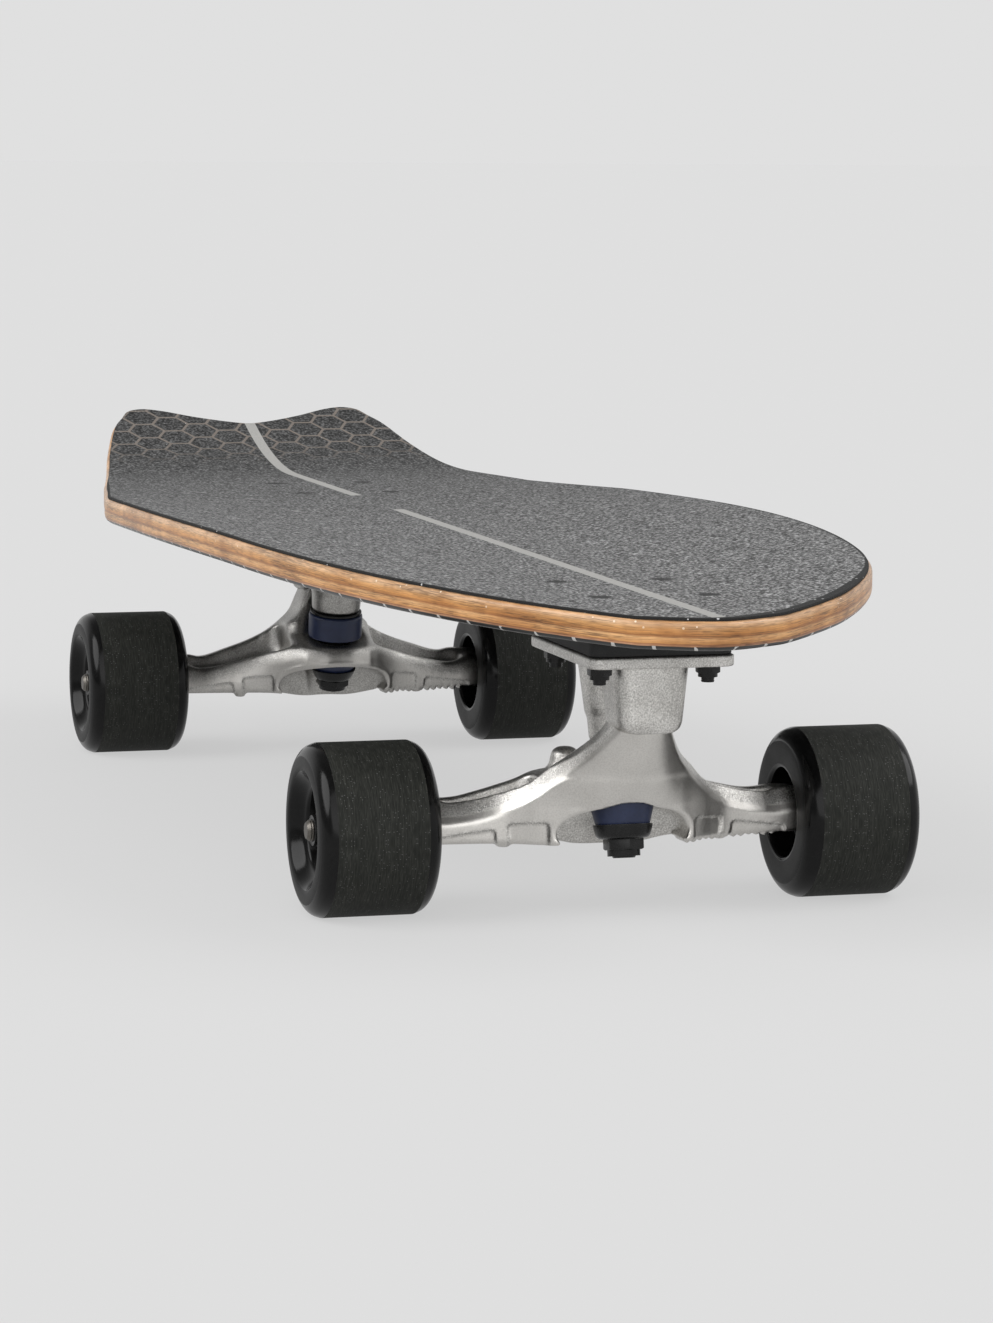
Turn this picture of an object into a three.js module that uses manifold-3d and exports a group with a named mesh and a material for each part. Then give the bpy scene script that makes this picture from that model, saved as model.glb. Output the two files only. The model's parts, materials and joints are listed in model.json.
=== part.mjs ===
// Surf skateboard: a swallow-tailed deck with grip tape, on two carving trucks and four wheels.
// Millimetres. X runs towards the nose, Z is up, and the origin lies on the ground under the
// middle of the board. In a truck, "ring" is the cast ring between the two bushings.
import * as THREE from "three";
import { mergeVertices } from "three/addons/utils/BufferGeometryUtils.js";
import Module from "manifold-3d";

const wasm = await Module();
wasm.setup();

// Deck
const deckLength = 746;
const deckWidth = 252;
const deckThickness = 10.5;
const kickLength = 114;
const kickRadius = 250;
const kickAngle = THREE.MathUtils.degToRad(19.7);
const concaveRise = 9.8;
const concaveFlatHalf = 27;
const concavePower = 1.12;
const concaveEasePower = 1.5;
const concaveStartX = -204;
const concaveFullX = 141;
const gripThickness = 0.8;
const stationsPerSpan = 2;
const notchSteps = 16;
const deckTopRound = 1.8;
const deckBottomRound = 3;
const gripInset = 1.8;
// Distances in from the outline and down from the top, round the edge of each sheet
const deckEdge = [
  [deckTopRound, 0],
  [0, deckTopRound],
  [0, deckThickness - deckBottomRound],
  [deckBottomRound, deckThickness],
];
const gripEdge = [[gripInset, 0], [gripInset, gripThickness]];

// Places along and across the board, as shares of half its length and half its width: one
// side from the tip of the tail to the nose, and the notch from a tip to the middle.
const sideShares = [
  [-1.0, 0.4106],
  [-0.992, 0.478],
  [-0.9706, 0.515],
  [-0.945, 0.556],
  [-0.859, 0.629],
  [-0.77, 0.685],
  [-0.68, 0.742],
  [-0.589, 0.7995],
  [-0.46, 0.872],
  [-0.347, 0.937],
  [-0.293, 0.963],
  [-0.212, 0.9775],
  [0.057, 1.0],
  [0.2726, 0.9815],
  [0.488, 0.922],
  [0.65, 0.8237],
  [0.7575, 0.7085],
  [0.8653, 0.5233],
  [0.919, 0.3816],
  [0.973, 0.187],
  [1.0, 0],
];
const notchShares = [
  [-1.0, 0.4106],
  [-0.9935, 0.331],
  [-0.9736, 0.2085],
  [-0.957, 0.0773],
  [-0.9515, 0],
];
const slopeShares = [0, 0.5];

// Wheels and bearings
const wheelDiameter = 65;
const wheelWidth = 46.4;
const treadWidth = 38;
const sideRimRadius = 22.5;
const sideRimBand = 4.5;
const lipDrop = 2.6;
const innerRecessRadius = 17;
const coreHalf = 12.2;
const coreShoulderRadius = 8.6;
const wheelSides = 28;
const bearingRadius = 11;
const bearingWidth = 7;
const bearingSides = 14;

// Axles
const wheelbase = 437.8;
const wheelbaseMiddleX = 21.2;
const track = 187.4;
const axleRadius = 4;
const axleEndChamfer = 0.8;
const axleOverhang = 1.8;
const axleSides = 12;
const axleNutFlats = 12.7;
const axleNutHeight = 6.4;
const speedWasherRadius = 7.4;
const speedWasherThickness = 0.8;

// Truck: heights above the axle or the ring, and the two axes that the parts follow
const ringThickness = 9;
const ringAheadOfAxle = 20.5;
const kingpinLean = THREE.MathUtils.degToRad(10);
const pivotAhead = 24;
const pivotDrop = 21.1;
const plateOverAxle = 65.6;

// Kingpin stack
const kingpinRadius = 4.76;
const kingpinHeadRadius = 7.8;
const kingpinHeadHeight = 4;
const kingpinSides = 12;
const bushingRadius = 12.5;
const bushingBore = 5.1;
const bushingEdge = 1;
const bushingSides = 16;
const upperWasherRadius = 12;
const upperWasherThickness = 1;
const cupWall = 0.8;
const cupDepth = 4;
const cupBase = 1.4;
const kingpinNutFlats = 13.4;
const kingpinTip = 0.7;
const barrelHeight = 11.4;
const frontStack = { ringRise: 15.4, coneHeight: 12.8, coneEnd: 9.2, nutHeight: 6.4 };
const rearStack = { ringRise: 16.8, coneHeight: 9.4, coneEnd: 7.3, nutHeight: 4.6 };

// Baseplate and riser
const plateLength = 79;
const plateWidth = 55.6;
const plateThickness = 4.5;
const plateCorner = 5;
const frontPlateAhead = 10.1;
const rearPlateAhead = 3;
const riserThickness = 9.1;
const riserInset = 0.8;
const bossRadius = 12.5;
const bossSides = 18;
const housingFront = 39;
const housingBack = 13;
const housingHalfTop = 15;
const housingHalfBottom = 12.6;
const housingDrop = 25.5;
const housingRound = 4;
const housingDraft = 1.4;
const housingPower = 4;
const housingSides = 16;
const webHalf = 8;
const webDrop = 15;
const pivotPinRadius = 5.9;
const pivotCupWall = 1.3;
const pivotCupDepth = 8.6;
const neckShoulderOver = 2.8;
const neckRadius = 10.6;
const neckChamfer = 1.2;

// Bolts
const boltSpacingAlong = 54;
const boltSpacingAcross = 41.3;
const boltRadius = 2.5;
const boltHeadRadius = 4.75;
const boltHeadHeight = 2.6;
const boltTail = 0.9;
const boltSides = 10;
const lockNutFlats = 8;
const lockNutHeight = 3.4;
const lockNutCollar = 1.4;
const lockNutCollarRadius = 3.5;

// Hanger
const hangerHalf = 80.7;
const hangerFront = 35;
const hangerBack = 12.5;
const hangerDrop = 6.8;
const hangerHeight = 18.7;
const crownReachShare = 0.45;
const armPower = 3.2;
const crownPower = 6;
const hangerEndRing = 7;
const hangerEndRingStep = 0.5;
const kingpinHoleRadius = 8;
const bushingSeatRadius = 13.4;
const bossRoomRadius = 17.2;
const neckTrimRadius = 21;
const neckSteps = 7;
const armSteps = 16;
const sectionSides = 14;
const archHalf = 26;
const archTop = 9.6;
const archCorner = 10;
const archCornerSteps = 4;
const axleWall = 6.2;
const trenchFloor = 7.4;
const trenchRise = 1.2;
const trenchPower = 2.4;
const trenchSides = 10;
const nubRadius = 2.6;
const nubDrop = 1;
const lugRadius = 4.4;
const lugFootRadius = 7.5;
const lugRise = 27;
const lugOut = 15;
const lugBack = 3.2;

// Share of half the hanger's length, then shares of its front, back, height and drop.
const armShares = [
  [0, 1, 1, 1, 1.42],
  [0.12, 0.98, 1, 1, 1.38],
  [0.22, 0.95, 1, 1, 1.28],
  [0.32, 0.84, 1, 1, 1.08],
  [0.4, 0.69, 1, 0.94, 1],
  [0.5, 0.54, 1, 0.77, 1],
  [0.62, 0.42, 0.96, 0.63, 1],
  [0.7, 0.37, 0.94, 0.57, 1],
  [0.77, 0.34, 0.92, 0.61, 1],
  [0.82, 0.32, 0.9, 0.62, 1],
  [0.88, 0.29, 0.82, 0.57, 1],
  [1, 0.27, 0.74, 0.5, 1],
];
// Radius and height of the kingpin boss, as shares of its radius and its whole height.
const bossShares = [
  [0.83, 0],
  [0.9, 0.04],
  [0.93, 0.24],
  [1, 0.31],
  [1.18, 1],
];
// Share of half the hanger's length, then the trench's middle and half width as shares of
// the hanger's back and its depth as a share of what stands over the trench floor.
const trenchShares = [
  [0.33, 0.62, 0.3, 0.3],
  [0.4, 0.5, 0.62, 0.8],
  [0.5, 0.3, 0.66, 1],
  [0.66, 0.12, 0.5, 1],
  [0.8, 0.04, 0.34, 0.9],
];
// Share of the neck's rise over the axle, then its outer face, its inner face and its half
// width, as shares of that rise. Outer is the side of the pivot.
const neckRise = 38.2;
const frontNeckShares = [
  [0.194, 0.336, -0.13, 0.68],
  [0.349, 0.452, -0.36, 0.733],
  [0.478, 0.568, -0.465, 0.746],
  [0.581, 0.63, -0.22, 0.69],
  [0.736, 0.739, 0.026, 0.51],
  [0.866, 0.815, 0.18, 0.38],
  [1, 0.85, 0.32, 0.28],
];
const rearNeckShares = [
  [0.194, 0.8, -0.31, 0.67],
  [0.349, 0.84, -0.31, 0.8],
  [0.478, 0.827, -0.16, 0.772],
  [0.581, 0.814, 0.1, 0.623],
  [0.736, 0.814, 0.233, 0.45],
  [0.866, 0.81, 0.26, 0.374],
  [1, 0.85, 0.32, 0.29],
];

// Clearances
const restGap = 0.3;
const boreGap = 0.2;
const cutOver = 5;
const weldDistance = 1e-4;

// Heights that the driving sizes give
const axleZ = wheelDiameter / 2;
const plateBottomZ = axleZ + plateOverAxle;
const plateTopZ = plateBottomZ + plateThickness;
const deckBottomZ = plateTopZ + riserThickness;
const deckTopZ = deckBottomZ + deckThickness;
const gripTopZ = deckTopZ + restGap + gripThickness;
const halfLength = deckLength / 2;
const halfWidth = deckWidth / 2;

// Solids

// A closed mesh as a solid that can be joined and cut, with its faces turned outwards.
function solidOf(geometry) {
  const loose = geometry.index ? geometry.toNonIndexed() : geometry;
  const bare = new THREE.BufferGeometry();
  bare.setAttribute("position", loose.getAttribute("position"));
  const merged = mergeVertices(bare, weldDistance);
  const index = merged.index.array;
  const faces = [];
  for (let i = 0; i < index.length; i += 3) {
    const [a, b, c] = index.slice(i, i + 3);
    if (a !== b && b !== c && c !== a) faces.push([a, b, c]);
  }
  const build = (list) =>
    new wasm.Manifold(
      new wasm.Mesh({
        numProp: 3,
        vertProperties: merged.attributes.position.array,
        triVerts: new Uint32Array(list.flat()),
      }),
    );
  const made = build(faces);
  return made.volume() < 0 ? build(faces.map(([a, b, c]) => [a, c, b])) : made;
}

function geometryOf(solid) {
  const mesh = solid.getMesh();
  const places = new Float32Array(mesh.numVert * 3);
  for (let i = 0; i < mesh.numVert; i++) {
    places.set(mesh.vertProperties.subarray(i * mesh.numProp, i * mesh.numProp + 3), i * 3);
  }
  const geometry = new THREE.BufferGeometry();
  geometry.setAttribute("position", new THREE.BufferAttribute(places, 3));
  geometry.setIndex(new THREE.BufferAttribute(mesh.triVerts, 1));
  return geometry;
}

const joined = (first, ...rest) => rest.reduce((sum, solid) => sum.add(solid), first);
const cut = (first, ...rest) => rest.reduce((sum, solid) => sum.subtract(solid), first);

// A profile of [radius, height] pairs turned about Z.
function turned(profile, sides, matrix) {
  const points = profile.map(([radius, height]) => new THREE.Vector2(radius, height));
  const geometry = new THREE.LatheGeometry(points, sides).rotateX(Math.PI / 2);
  return solidOf(matrix ? geometry.applyMatrix4(matrix) : geometry);
}

// A cylinder about Z from one height to another, tapering where the radii differ.
function rod(lowRadius, highRadius, low, high, sides, matrix) {
  const profile = [[0, low], [lowRadius, low], [highRadius, high], [0, high]];
  return turned(profile, sides, matrix);
}

// A plain ring about Z.
function ring(bore, radius, low, high, sides, matrix) {
  const profile = [[bore, low], [radius, low], [radius, high], [bore, high], [bore, low]];
  return turned(profile, sides, matrix);
}

// A hexagonal nut about Z, its collar at the low end, its flats facing Y.
function lockNut(flats, low, high, collarRadius, collarHeight, bore, matrix) {
  const corner = flats / 2 / Math.cos(Math.PI / 6);
  const hexagon = rod(corner, corner, low + collarHeight, high, 6, matrix);
  const collarTop = low + collarHeight + collarHeight / 2;
  const collar = rod(collarRadius, collarRadius, low, collarTop, boltSides, matrix);
  const holeCorner = bore / Math.cos(Math.PI / boltSides);
  const hole = rod(holeCorner, holeCorner, low - cutOver, high + cutOver, boltSides, matrix);
  return cut(joined(hexagon, collar), hole);
}

// A closed skin over sections that hold equal numbers of points. Each four-sided patch is
// split along its shorter diagonal, so sheets that lie on each other are split alike.
function loft(sections) {
  const places = [];
  const face = (...points) => points.forEach((p) => places.push(p.x, p.y, p.z));
  const count = sections[0].length;
  for (let s = 0; s + 1 < sections.length; s++) {
    for (let i = 0; i < count; i++) {
      const j = (i + 1) % count;
      const [a, b, c, d] = [sections[s][i], sections[s][j], sections[s + 1][j], sections[s + 1][i]];
      if (a.distanceTo(c) < b.distanceTo(d)) {
        face(a, b, c);
        face(a, c, d);
      } else {
        face(a, b, d);
        face(b, c, d);
      }
    }
  }
  const last = sections[sections.length - 1];
  for (let i = 1; i + 1 < count; i++) {
    face(sections[0][0], sections[0][i + 1], sections[0][i]);
    face(last[0], last[i], last[i + 1]);
  }
  const geometry = new THREE.BufferGeometry();
  geometry.setAttribute("position", new THREE.Float32BufferAttribute(places, 3));
  return solidOf(geometry);
}

// Points round a rounded box between two corners of a plane; a higher power is squarer.
function roundedSection(lowA, highA, lowB, highB, power, sides, toPoint) {
  const points = [];
  const soften = (value) => Math.sign(value) * Math.abs(value) ** (2 / power);
  for (let i = 0; i < sides; i++) {
    const angle = ((i + 0.5) / sides) * 2 * Math.PI;
    const a = (lowA + highA) / 2 + ((highA - lowA) / 2) * soften(Math.cos(angle));
    const b = (lowB + highB) / 2 + ((highB - lowB) / 2) * soften(Math.sin(angle));
    points.push(toPoint(a, b));
  }
  return points;
}

// The rows of a table of shares, read smoothly at any value of their first column.
function smoothTable(rows) {
  const width = rows[0].length - 1;
  const keys = rows.map((row) => row[0]);
  const values = rows.flatMap((row) => row.slice(1));
  const curve = new THREE.CubicInterpolant(keys, values, width, new Float32Array(width));
  return (at) => [...curve.evaluate(at)];
}

// A flat outline of [x, y] pairs pushed up from one height to another.
function prism(outline, low, high, matrix) {
  const shape = new THREE.Shape(outline.map(([x, y]) => new THREE.Vector2(x, y)));
  const options = { depth: high - low, bevelEnabled: false };
  const geometry = new THREE.ExtrudeGeometry(shape, options).translate(0, 0, low);
  return solidOf(matrix ? geometry.applyMatrix4(matrix) : geometry);
}

function roundedRectangle(lowX, highX, half, corner, steps) {
  const outline = [];
  const corners = [
    [highX - corner, half - corner, 0],
    [lowX + corner, half - corner, 1],
    [lowX + corner, corner - half, 2],
    [highX - corner, corner - half, 3],
  ];
  for (const [x, y, quarter] of corners) {
    for (let i = 0; i <= steps; i++) {
      const angle = (quarter + i / steps) * (Math.PI / 2);
      outline.push([x + corner * Math.cos(angle), y + corner * Math.sin(angle)]);
    }
  }
  return outline;
}

function finish(color, roughness, metalness) {
  return new THREE.MeshStandardMaterial({ color, roughness, metalness });
}

const skateboard = new THREE.Group();
function addPiece(name, solid, material) {
  const mesh = new THREE.Mesh(geometryOf(solid), material);
  mesh.name = name;
  skateboard.add(mesh);
}

// Deck and grip tape

// The kick is an arc off the flat and then a straight slope.
function kickRise(x) {
  const run = kickLength - halfLength - x;
  const arcRun = kickRadius * Math.sin(kickAngle);
  if (run <= 0) return 0;
  if (run < arcRun) return kickRadius - Math.sqrt(kickRadius ** 2 - run ** 2);
  return kickRadius * (1 - Math.cos(kickAngle)) + (run - arcRun) * Math.tan(kickAngle);
}

function kickSlope(x) {
  const run = kickLength - halfLength - x;
  return run <= 0 ? 0 : Math.min(kickAngle, Math.asin(Math.min(1, run / kickRadius)));
}

// The sides rise off a flat middle, fully near the nose and not at all at the tail.
function sideRise(x, y) {
  const run = THREE.MathUtils.clamp((x - concaveStartX) / (concaveFullX - concaveStartX), 0, 1);
  const share = Math.max(0, Math.abs(y) - concaveFlatHalf) / (halfWidth - concaveFlatHalf);
  return concaveRise * (1 - (1 - run) ** concaveEasePower) * share ** concavePower;
}

// One side of the outline from the tail to the nose, with its outward direction at each place.
function sideStations() {
  const scaled = ([a, b]) => new THREE.Vector3(a * halfLength, b * halfWidth, 0);
  const beyond = sideShares[sideShares.length - 2];
  const corners = [...sideShares, [beyond[0], -beyond[1]]].map(scaled);
  const curve = new THREE.CatmullRomCurve3(corners, false, "centripetal");
  const spans = corners.length - 1;
  const stations = [];
  for (let i = 0; i <= stationsPerSpan * (spans - 1); i++) {
    const at = i / (stationsPerSpan * spans);
    const [point, ahead] = [curve.getPoint(at), curve.getTangent(at)];
    stations.push({ x: point.x, y: Math.max(point.y, 0), outX: -ahead.y, outY: ahead.x });
  }
  return stations;
}

// A section across the board at a station, lifted off the deck's top. Its edge is a list of
// distances in from the outline and down from the top, on the upper face first.
function boardSection({ x, y, outX, outY }, lift, edge) {
  const side = edge.map(([inset, drop]) => {
    return [x - inset * outX, Math.max(y - inset * outY, 0), drop];
  });
  const across = ([edgeX, reach, drop]) => {
    const flat = Math.min(concaveFlatHalf, reach / 2);
    return slopeShares.map((share) => [edgeX, flat + share * (reach - flat), drop]);
  };
  const right = [...across(side[0]), ...side, ...across(side[side.length - 1]).reverse()];
  const left = [...right].reverse().map(([atX, atY, drop]) => [atX, -atY, drop]);
  return [...right, ...left].map(([atX, atY, drop]) => {
    const level = deckTopZ + kickRise(atX) + sideRise(atX, atY);
    return new THREE.Vector3(atX, atY, level + (lift - drop) / Math.cos(kickSlope(atX)));
  });
}

const boardSheet = (lift, edge) =>
  loft(sideStations().map((station) => boardSection(station, lift, edge)));

// What the notch in the tail takes away, moved forwards by an inset.
function notch(inset) {
  const half = notchShares.map(([a, b]) => [a * halfLength + inset, b * halfWidth]);
  const otherHalf = half.slice(0, -1).reverse().map(([x, y]) => [x, -y]);
  const corners = [...half, ...otherHalf].map(([x, y]) => new THREE.Vector3(x, y, 0));
  const curve = new THREE.CatmullRomCurve3(corners, false, "centripetal");
  const [first, last] = [corners[0], corners[corners.length - 1]];
  const outside = -halfLength - cutOver;
  const outline = curve.getPoints(notchSteps).map(({ x, y }) => [x, y]);
  return prism([...outline, [outside, last.y], [outside, first.y]], 0, gripTopZ + deckWidth);
}

const trucks = [
  {
    name: "front",
    side: 1,
    axleX: wheelbaseMiddleX + wheelbase / 2,
    stack: frontStack,
    neckShares: frontNeckShares,
    neckPower: 2.3,
    crownShare: 0,
    plateAhead: frontPlateAhead,
  },
  {
    name: "rear",
    side: -1,
    axleX: wheelbaseMiddleX - wheelbase / 2,
    stack: rearStack,
    neckShares: rearNeckShares,
    neckPower: 3,
    crownShare: 0.09,
    plateAhead: rearPlateAhead,
  },
];
for (const truck of trucks) {
  truck.ringX = truck.axleX + ringAheadOfAxle;
  truck.ringZ = axleZ + truck.stack.ringRise;
  truck.steerTilt = Math.atan2(pivotAhead, plateBottomZ - pivotDrop - truck.ringZ);
}

// The four bolt places of a truck, named left and right of the rider's line.
function boltPlaces(truck) {
  const middle = truck.ringX + truck.side * truck.plateAhead;
  const places = [];
  for (const [end, along] of [["fore", 1], ["aft", -1]]) {
    for (const [hand, across] of [["left", 1], ["right", -1]]) {
      const x = middle + (along * boltSpacingAlong) / 2;
      places.push({ name: `${end}_${hand}`, x, y: (across * boltSpacingAcross) / 2 });
    }
  }
  return places;
}

const allBolts = trucks.flatMap((truck) => boltPlaces(truck));
const boltHoleRadius = boltRadius + restGap;
const headTopZ = deckTopZ + restGap + gripThickness / 2;

// The hole for each bolt, widened at the top for its countersunk head.
function boltHoles(places, headed) {
  return places.map(({ x, y }) => {
    const matrix = new THREE.Matrix4().makeTranslation(x, y, 0);
    const shank = [[0, 0], [boltHoleRadius, 0]];
    const wide = boltHeadRadius + restGap;
    const top = gripTopZ + cutOver;
    const head = [[boltHoleRadius, headTopZ - boltHeadHeight], [wide, headTopZ], [wide, top]];
    const profile = [...shank, ...(headed ? head : [[boltHoleRadius, top]]), [0, top]];
    return turned(profile, boltSides, matrix);
  });
}

const deckSolid = cut(boardSheet(0, deckEdge), notch(0), ...boltHoles(allBolts, true));
addPiece("deck", deckSolid, finish(0xc58f55, 0.5, 0));

const gripBlank = boardSheet(restGap + gripThickness, gripEdge);
const gripSolid = cut(gripBlank, notch(gripInset), ...boltHoles(allBolts, true));
addPiece("grip_tape", gripSolid, finish(0x4a4a4c, 0.95, 0));

// Risers, baseplates and their fasteners

const castFinish = () => finish(0xa3a19c, 0.45, 0.9);
const blackSteel = () => finish(0x141414, 0.4, 0.6);
const bushingFinish = () => finish(0x1b2744, 0.45, 0);
const cornerSteps = 3;

// Distances along these two axes are measured from the middle of the ring, upwards.
function axisMatrix(truck, tilt) {
  const turn = new THREE.Matrix4().makeRotationY(truck.side * tilt);
  return new THREE.Matrix4().makeTranslation(truck.ringX, 0, truck.ringZ).multiply(turn);
}
const kingpinMatrix = (truck) => axisMatrix(truck, -kingpinLean);
const steerMatrix = (truck) => axisMatrix(truck, truck.steerTilt);

// Where the pieces of the kingpin stack meet
const ringFace = ringThickness / 2;
const barrelLow = ringFace + restGap;
const coneHigh = -barrelLow;
const barrelHigh = barrelLow + barrelHeight;
const upperWasherLow = barrelHigh + restGap;
const upperWasherHigh = upperWasherLow + upperWasherThickness;
const bossFace = upperWasherHigh + restGap;
for (const truck of trucks) {
  truck.coneLow = coneHigh - truck.stack.coneHeight;
  truck.cupLow = truck.coneLow - restGap - cupBase;
  truck.nutHigh = truck.cupLow - restGap;
  truck.nutLow = truck.nutHigh - truck.stack.nutHeight;
  truck.plateReach = (plateBottomZ - truck.ringZ) / Math.cos(kingpinLean);
  truck.headLow = truck.plateReach - kingpinHeadHeight / 2;
  truck.pivotReach = (plateBottomZ - pivotDrop - truck.ringZ) / Math.cos(truck.steerTilt);
  truck.shoulderReach = truck.pivotReach + neckShoulderOver;
  truck.socketReach = truck.shoulderReach + restGap + neckChamfer / 4;
}
const pivotCupRadius = pivotPinRadius + boreGap + pivotCupWall;

function plateRange(truck, inset) {
  const middle = truck.ringX + truck.side * truck.plateAhead;
  return [middle - plateLength / 2 + inset, middle + plateLength / 2 - inset];
}

function makeRiser(truck) {
  const [low, high] = plateRange(truck, riserInset);
  const half = plateWidth / 2 - riserInset;
  const outline = roundedRectangle(low, high, half, plateCorner, cornerSteps);
  return cut(prism(outline, plateTopZ, deckBottomZ), ...boltHoles(boltPlaces(truck), false));
}

// The pivot housing tapers down from the plate, with a rounded outer face and bottom.
function housing(truck) {
  const level = (z, half, front) =>
    roundedSection(housingBack, front, -half, half, housingPower, housingSides, (ahead, y) => {
      return new THREE.Vector3(truck.ringX + truck.side * ahead, y, z);
    });
  const low = plateBottomZ - housingDrop;
  return loft([
    level(low, housingHalfBottom - housingRound, housingFront - housingDraft),
    level(low + housingRound / 3, housingHalfBottom - housingRound / 3, housingFront - housingDraft / 2),
    level(low + housingRound, housingHalfBottom, housingFront),
    level(plateBottomZ + plateThickness / 2, housingHalfTop, housingFront + housingDraft / 2),
  ]);
}

function makeBaseplate(truck) {
  const [low, high] = plateRange(truck, 0);
  const outline = roundedRectangle(low, high, plateWidth / 2, plateCorner, cornerSteps);
  const plate = prism(outline, plateBottomZ, plateTopZ);
  const kingpinAxis = kingpinMatrix(truck);
  const bossTop = truck.plateReach + plateThickness;
  const bossOutline = bossShares.map(([across, up]) => {
    return [across * bossRadius, bossFace + up * (bossTop - bossFace)];
  });
  const boss = turned([[0, bossFace], ...bossOutline, [0, bossTop]], bossSides, kingpinAxis);
  const webX = [0, truck.side * (housingBack + webHalf)].map((x) => x + truck.ringX);
  const webOutline = [
    [Math.min(...webX), -webHalf],
    [Math.max(...webX), -webHalf],
    [Math.max(...webX), webHalf],
    [Math.min(...webX), webHalf],
  ];
  const web = prism(webOutline, plateBottomZ - webDrop, plateBottomZ + plateThickness / 2);
  const body = joined(plate, boss, housing(truck), web);
  const stem = kingpinRadius + boreGap;
  const headRoom = kingpinHeadRadius + restGap;
  const steerAxis = steerMatrix(truck);
  const cupRoom = pivotCupRadius + boreGap;
  const neckRoom = neckRadius + neckChamfer / 4;
  const cupEnd = truck.socketReach + pivotCupDepth + restGap;
  const above = roundedRectangle(low - cutOver, high + cutOver, plateWidth, plateCorner, cornerSteps);
  return cut(
    body,
    prism(above, plateTopZ, deckBottomZ),
    rod(stem, stem, 0, truck.plateReach, kingpinSides, kingpinAxis),
    rod(headRoom, headRoom, truck.headLow - boreGap, bossTop + cutOver, kingpinSides, kingpinAxis),
    rod(neckRoom, neckRoom, 0, truck.socketReach, bossSides, steerAxis),
    rod(cupRoom, cupRoom, 0, cupEnd, bossSides, steerAxis),
    ...boltHoles(boltPlaces(truck), false),
  );
}

function makeKingpin(truck) {
  const { headLow } = truck;
  const low = truck.nutLow - kingpinTip;
  const headHigh = headLow + kingpinHeadHeight;
  const profile = [
    [0, low],
    [kingpinRadius - kingpinTip, low],
    [kingpinRadius, low + kingpinTip],
    [kingpinRadius, headLow],
    [kingpinHeadRadius, headLow],
    [kingpinHeadRadius, headHigh],
    [0, headHigh],
  ];
  return turned(profile, kingpinSides, kingpinMatrix(truck));
}

function makeBarrel(truck) {
  const profile = [
    [bushingBore, barrelLow],
    [bushingRadius - bushingEdge, barrelLow],
    [bushingRadius, barrelLow + bushingEdge],
    [bushingRadius, barrelHigh - bushingEdge],
    [bushingRadius - bushingEdge, barrelHigh],
    [bushingBore, barrelHigh],
    [bushingBore, barrelLow],
  ];
  return turned(profile, bushingSides, kingpinMatrix(truck));
}

function makeCone(truck) {
  const { coneLow } = truck;
  const { coneEnd } = truck.stack;
  const profile = [
    [bushingBore, coneLow],
    [coneEnd - bushingEdge / 2, coneLow],
    [coneEnd, coneLow + bushingEdge / 2],
    [bushingRadius, coneHigh - bushingEdge],
    [bushingRadius - bushingEdge, coneHigh],
    [bushingBore, coneHigh],
    [bushingBore, coneLow],
  ];
  return turned(profile, bushingSides, kingpinMatrix(truck));
}

// The lower washer is a cup that holds the end of the cone.
function makeCup(truck) {
  const { cupLow } = truck;
  const { coneHeight, coneEnd } = truck.stack;
  const growth = (bushingRadius - coneEnd) / (coneHeight - bushingEdge);
  const inner = coneEnd + restGap;
  const rim = inner + cupDepth * growth;
  const bore = kingpinRadius + boreGap;
  const profile = [
    [bore, cupLow],
    [inner + cupWall / 2, cupLow],
    [inner + cupWall, cupLow + cupBase / 2],
    [rim + cupWall, cupLow + cupBase + cupDepth],
    [rim, cupLow + cupBase + cupDepth],
    [inner, cupLow + cupBase],
    [bore, cupLow + cupBase],
    [bore, cupLow],
  ];
  return turned(profile, bushingSides, kingpinMatrix(truck));
}

function makePivotCup(truck) {
  const { socketReach } = truck;
  const bore = pivotPinRadius + boreGap;
  const end = socketReach + pivotCupDepth;
  const profile = [
    [bore, socketReach],
    [pivotCupRadius, socketReach],
    [pivotCupRadius, end - pivotCupWall / 2],
    [pivotCupRadius - pivotCupWall / 2, end],
    [0, end],
    [0, end - pivotCupWall],
    [bore, end - pivotCupWall],
    [bore, socketReach],
  ];
  return turned(profile, bossSides, steerMatrix(truck));
}

function makeBolt({ x, y }) {
  const low = plateBottomZ - restGap - lockNutHeight - lockNutCollar - boltTail;
  const profile = [
    [0, low],
    [boltRadius - boltTail / 4, low],
    [boltRadius, low + boltTail / 4],
    [boltRadius, headTopZ - boltHeadHeight],
    [boltHeadRadius, headTopZ],
    [0, headTopZ],
  ];
  return turned(profile, boltSides, new THREE.Matrix4().makeTranslation(x, y, 0));
}

function makeLockNut({ x, y }) {
  const high = plateBottomZ - restGap;
  const low = high - lockNutHeight - lockNutCollar;
  const matrix = new THREE.Matrix4().makeTranslation(x, y, 0);
  matrix.multiply(new THREE.Matrix4().makeRotationZ(Math.PI / 6));
  const bore = boltRadius + boreGap;
  return lockNut(lockNutFlats, low, high, lockNutCollarRadius, lockNutCollar, bore, matrix);
}

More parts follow.
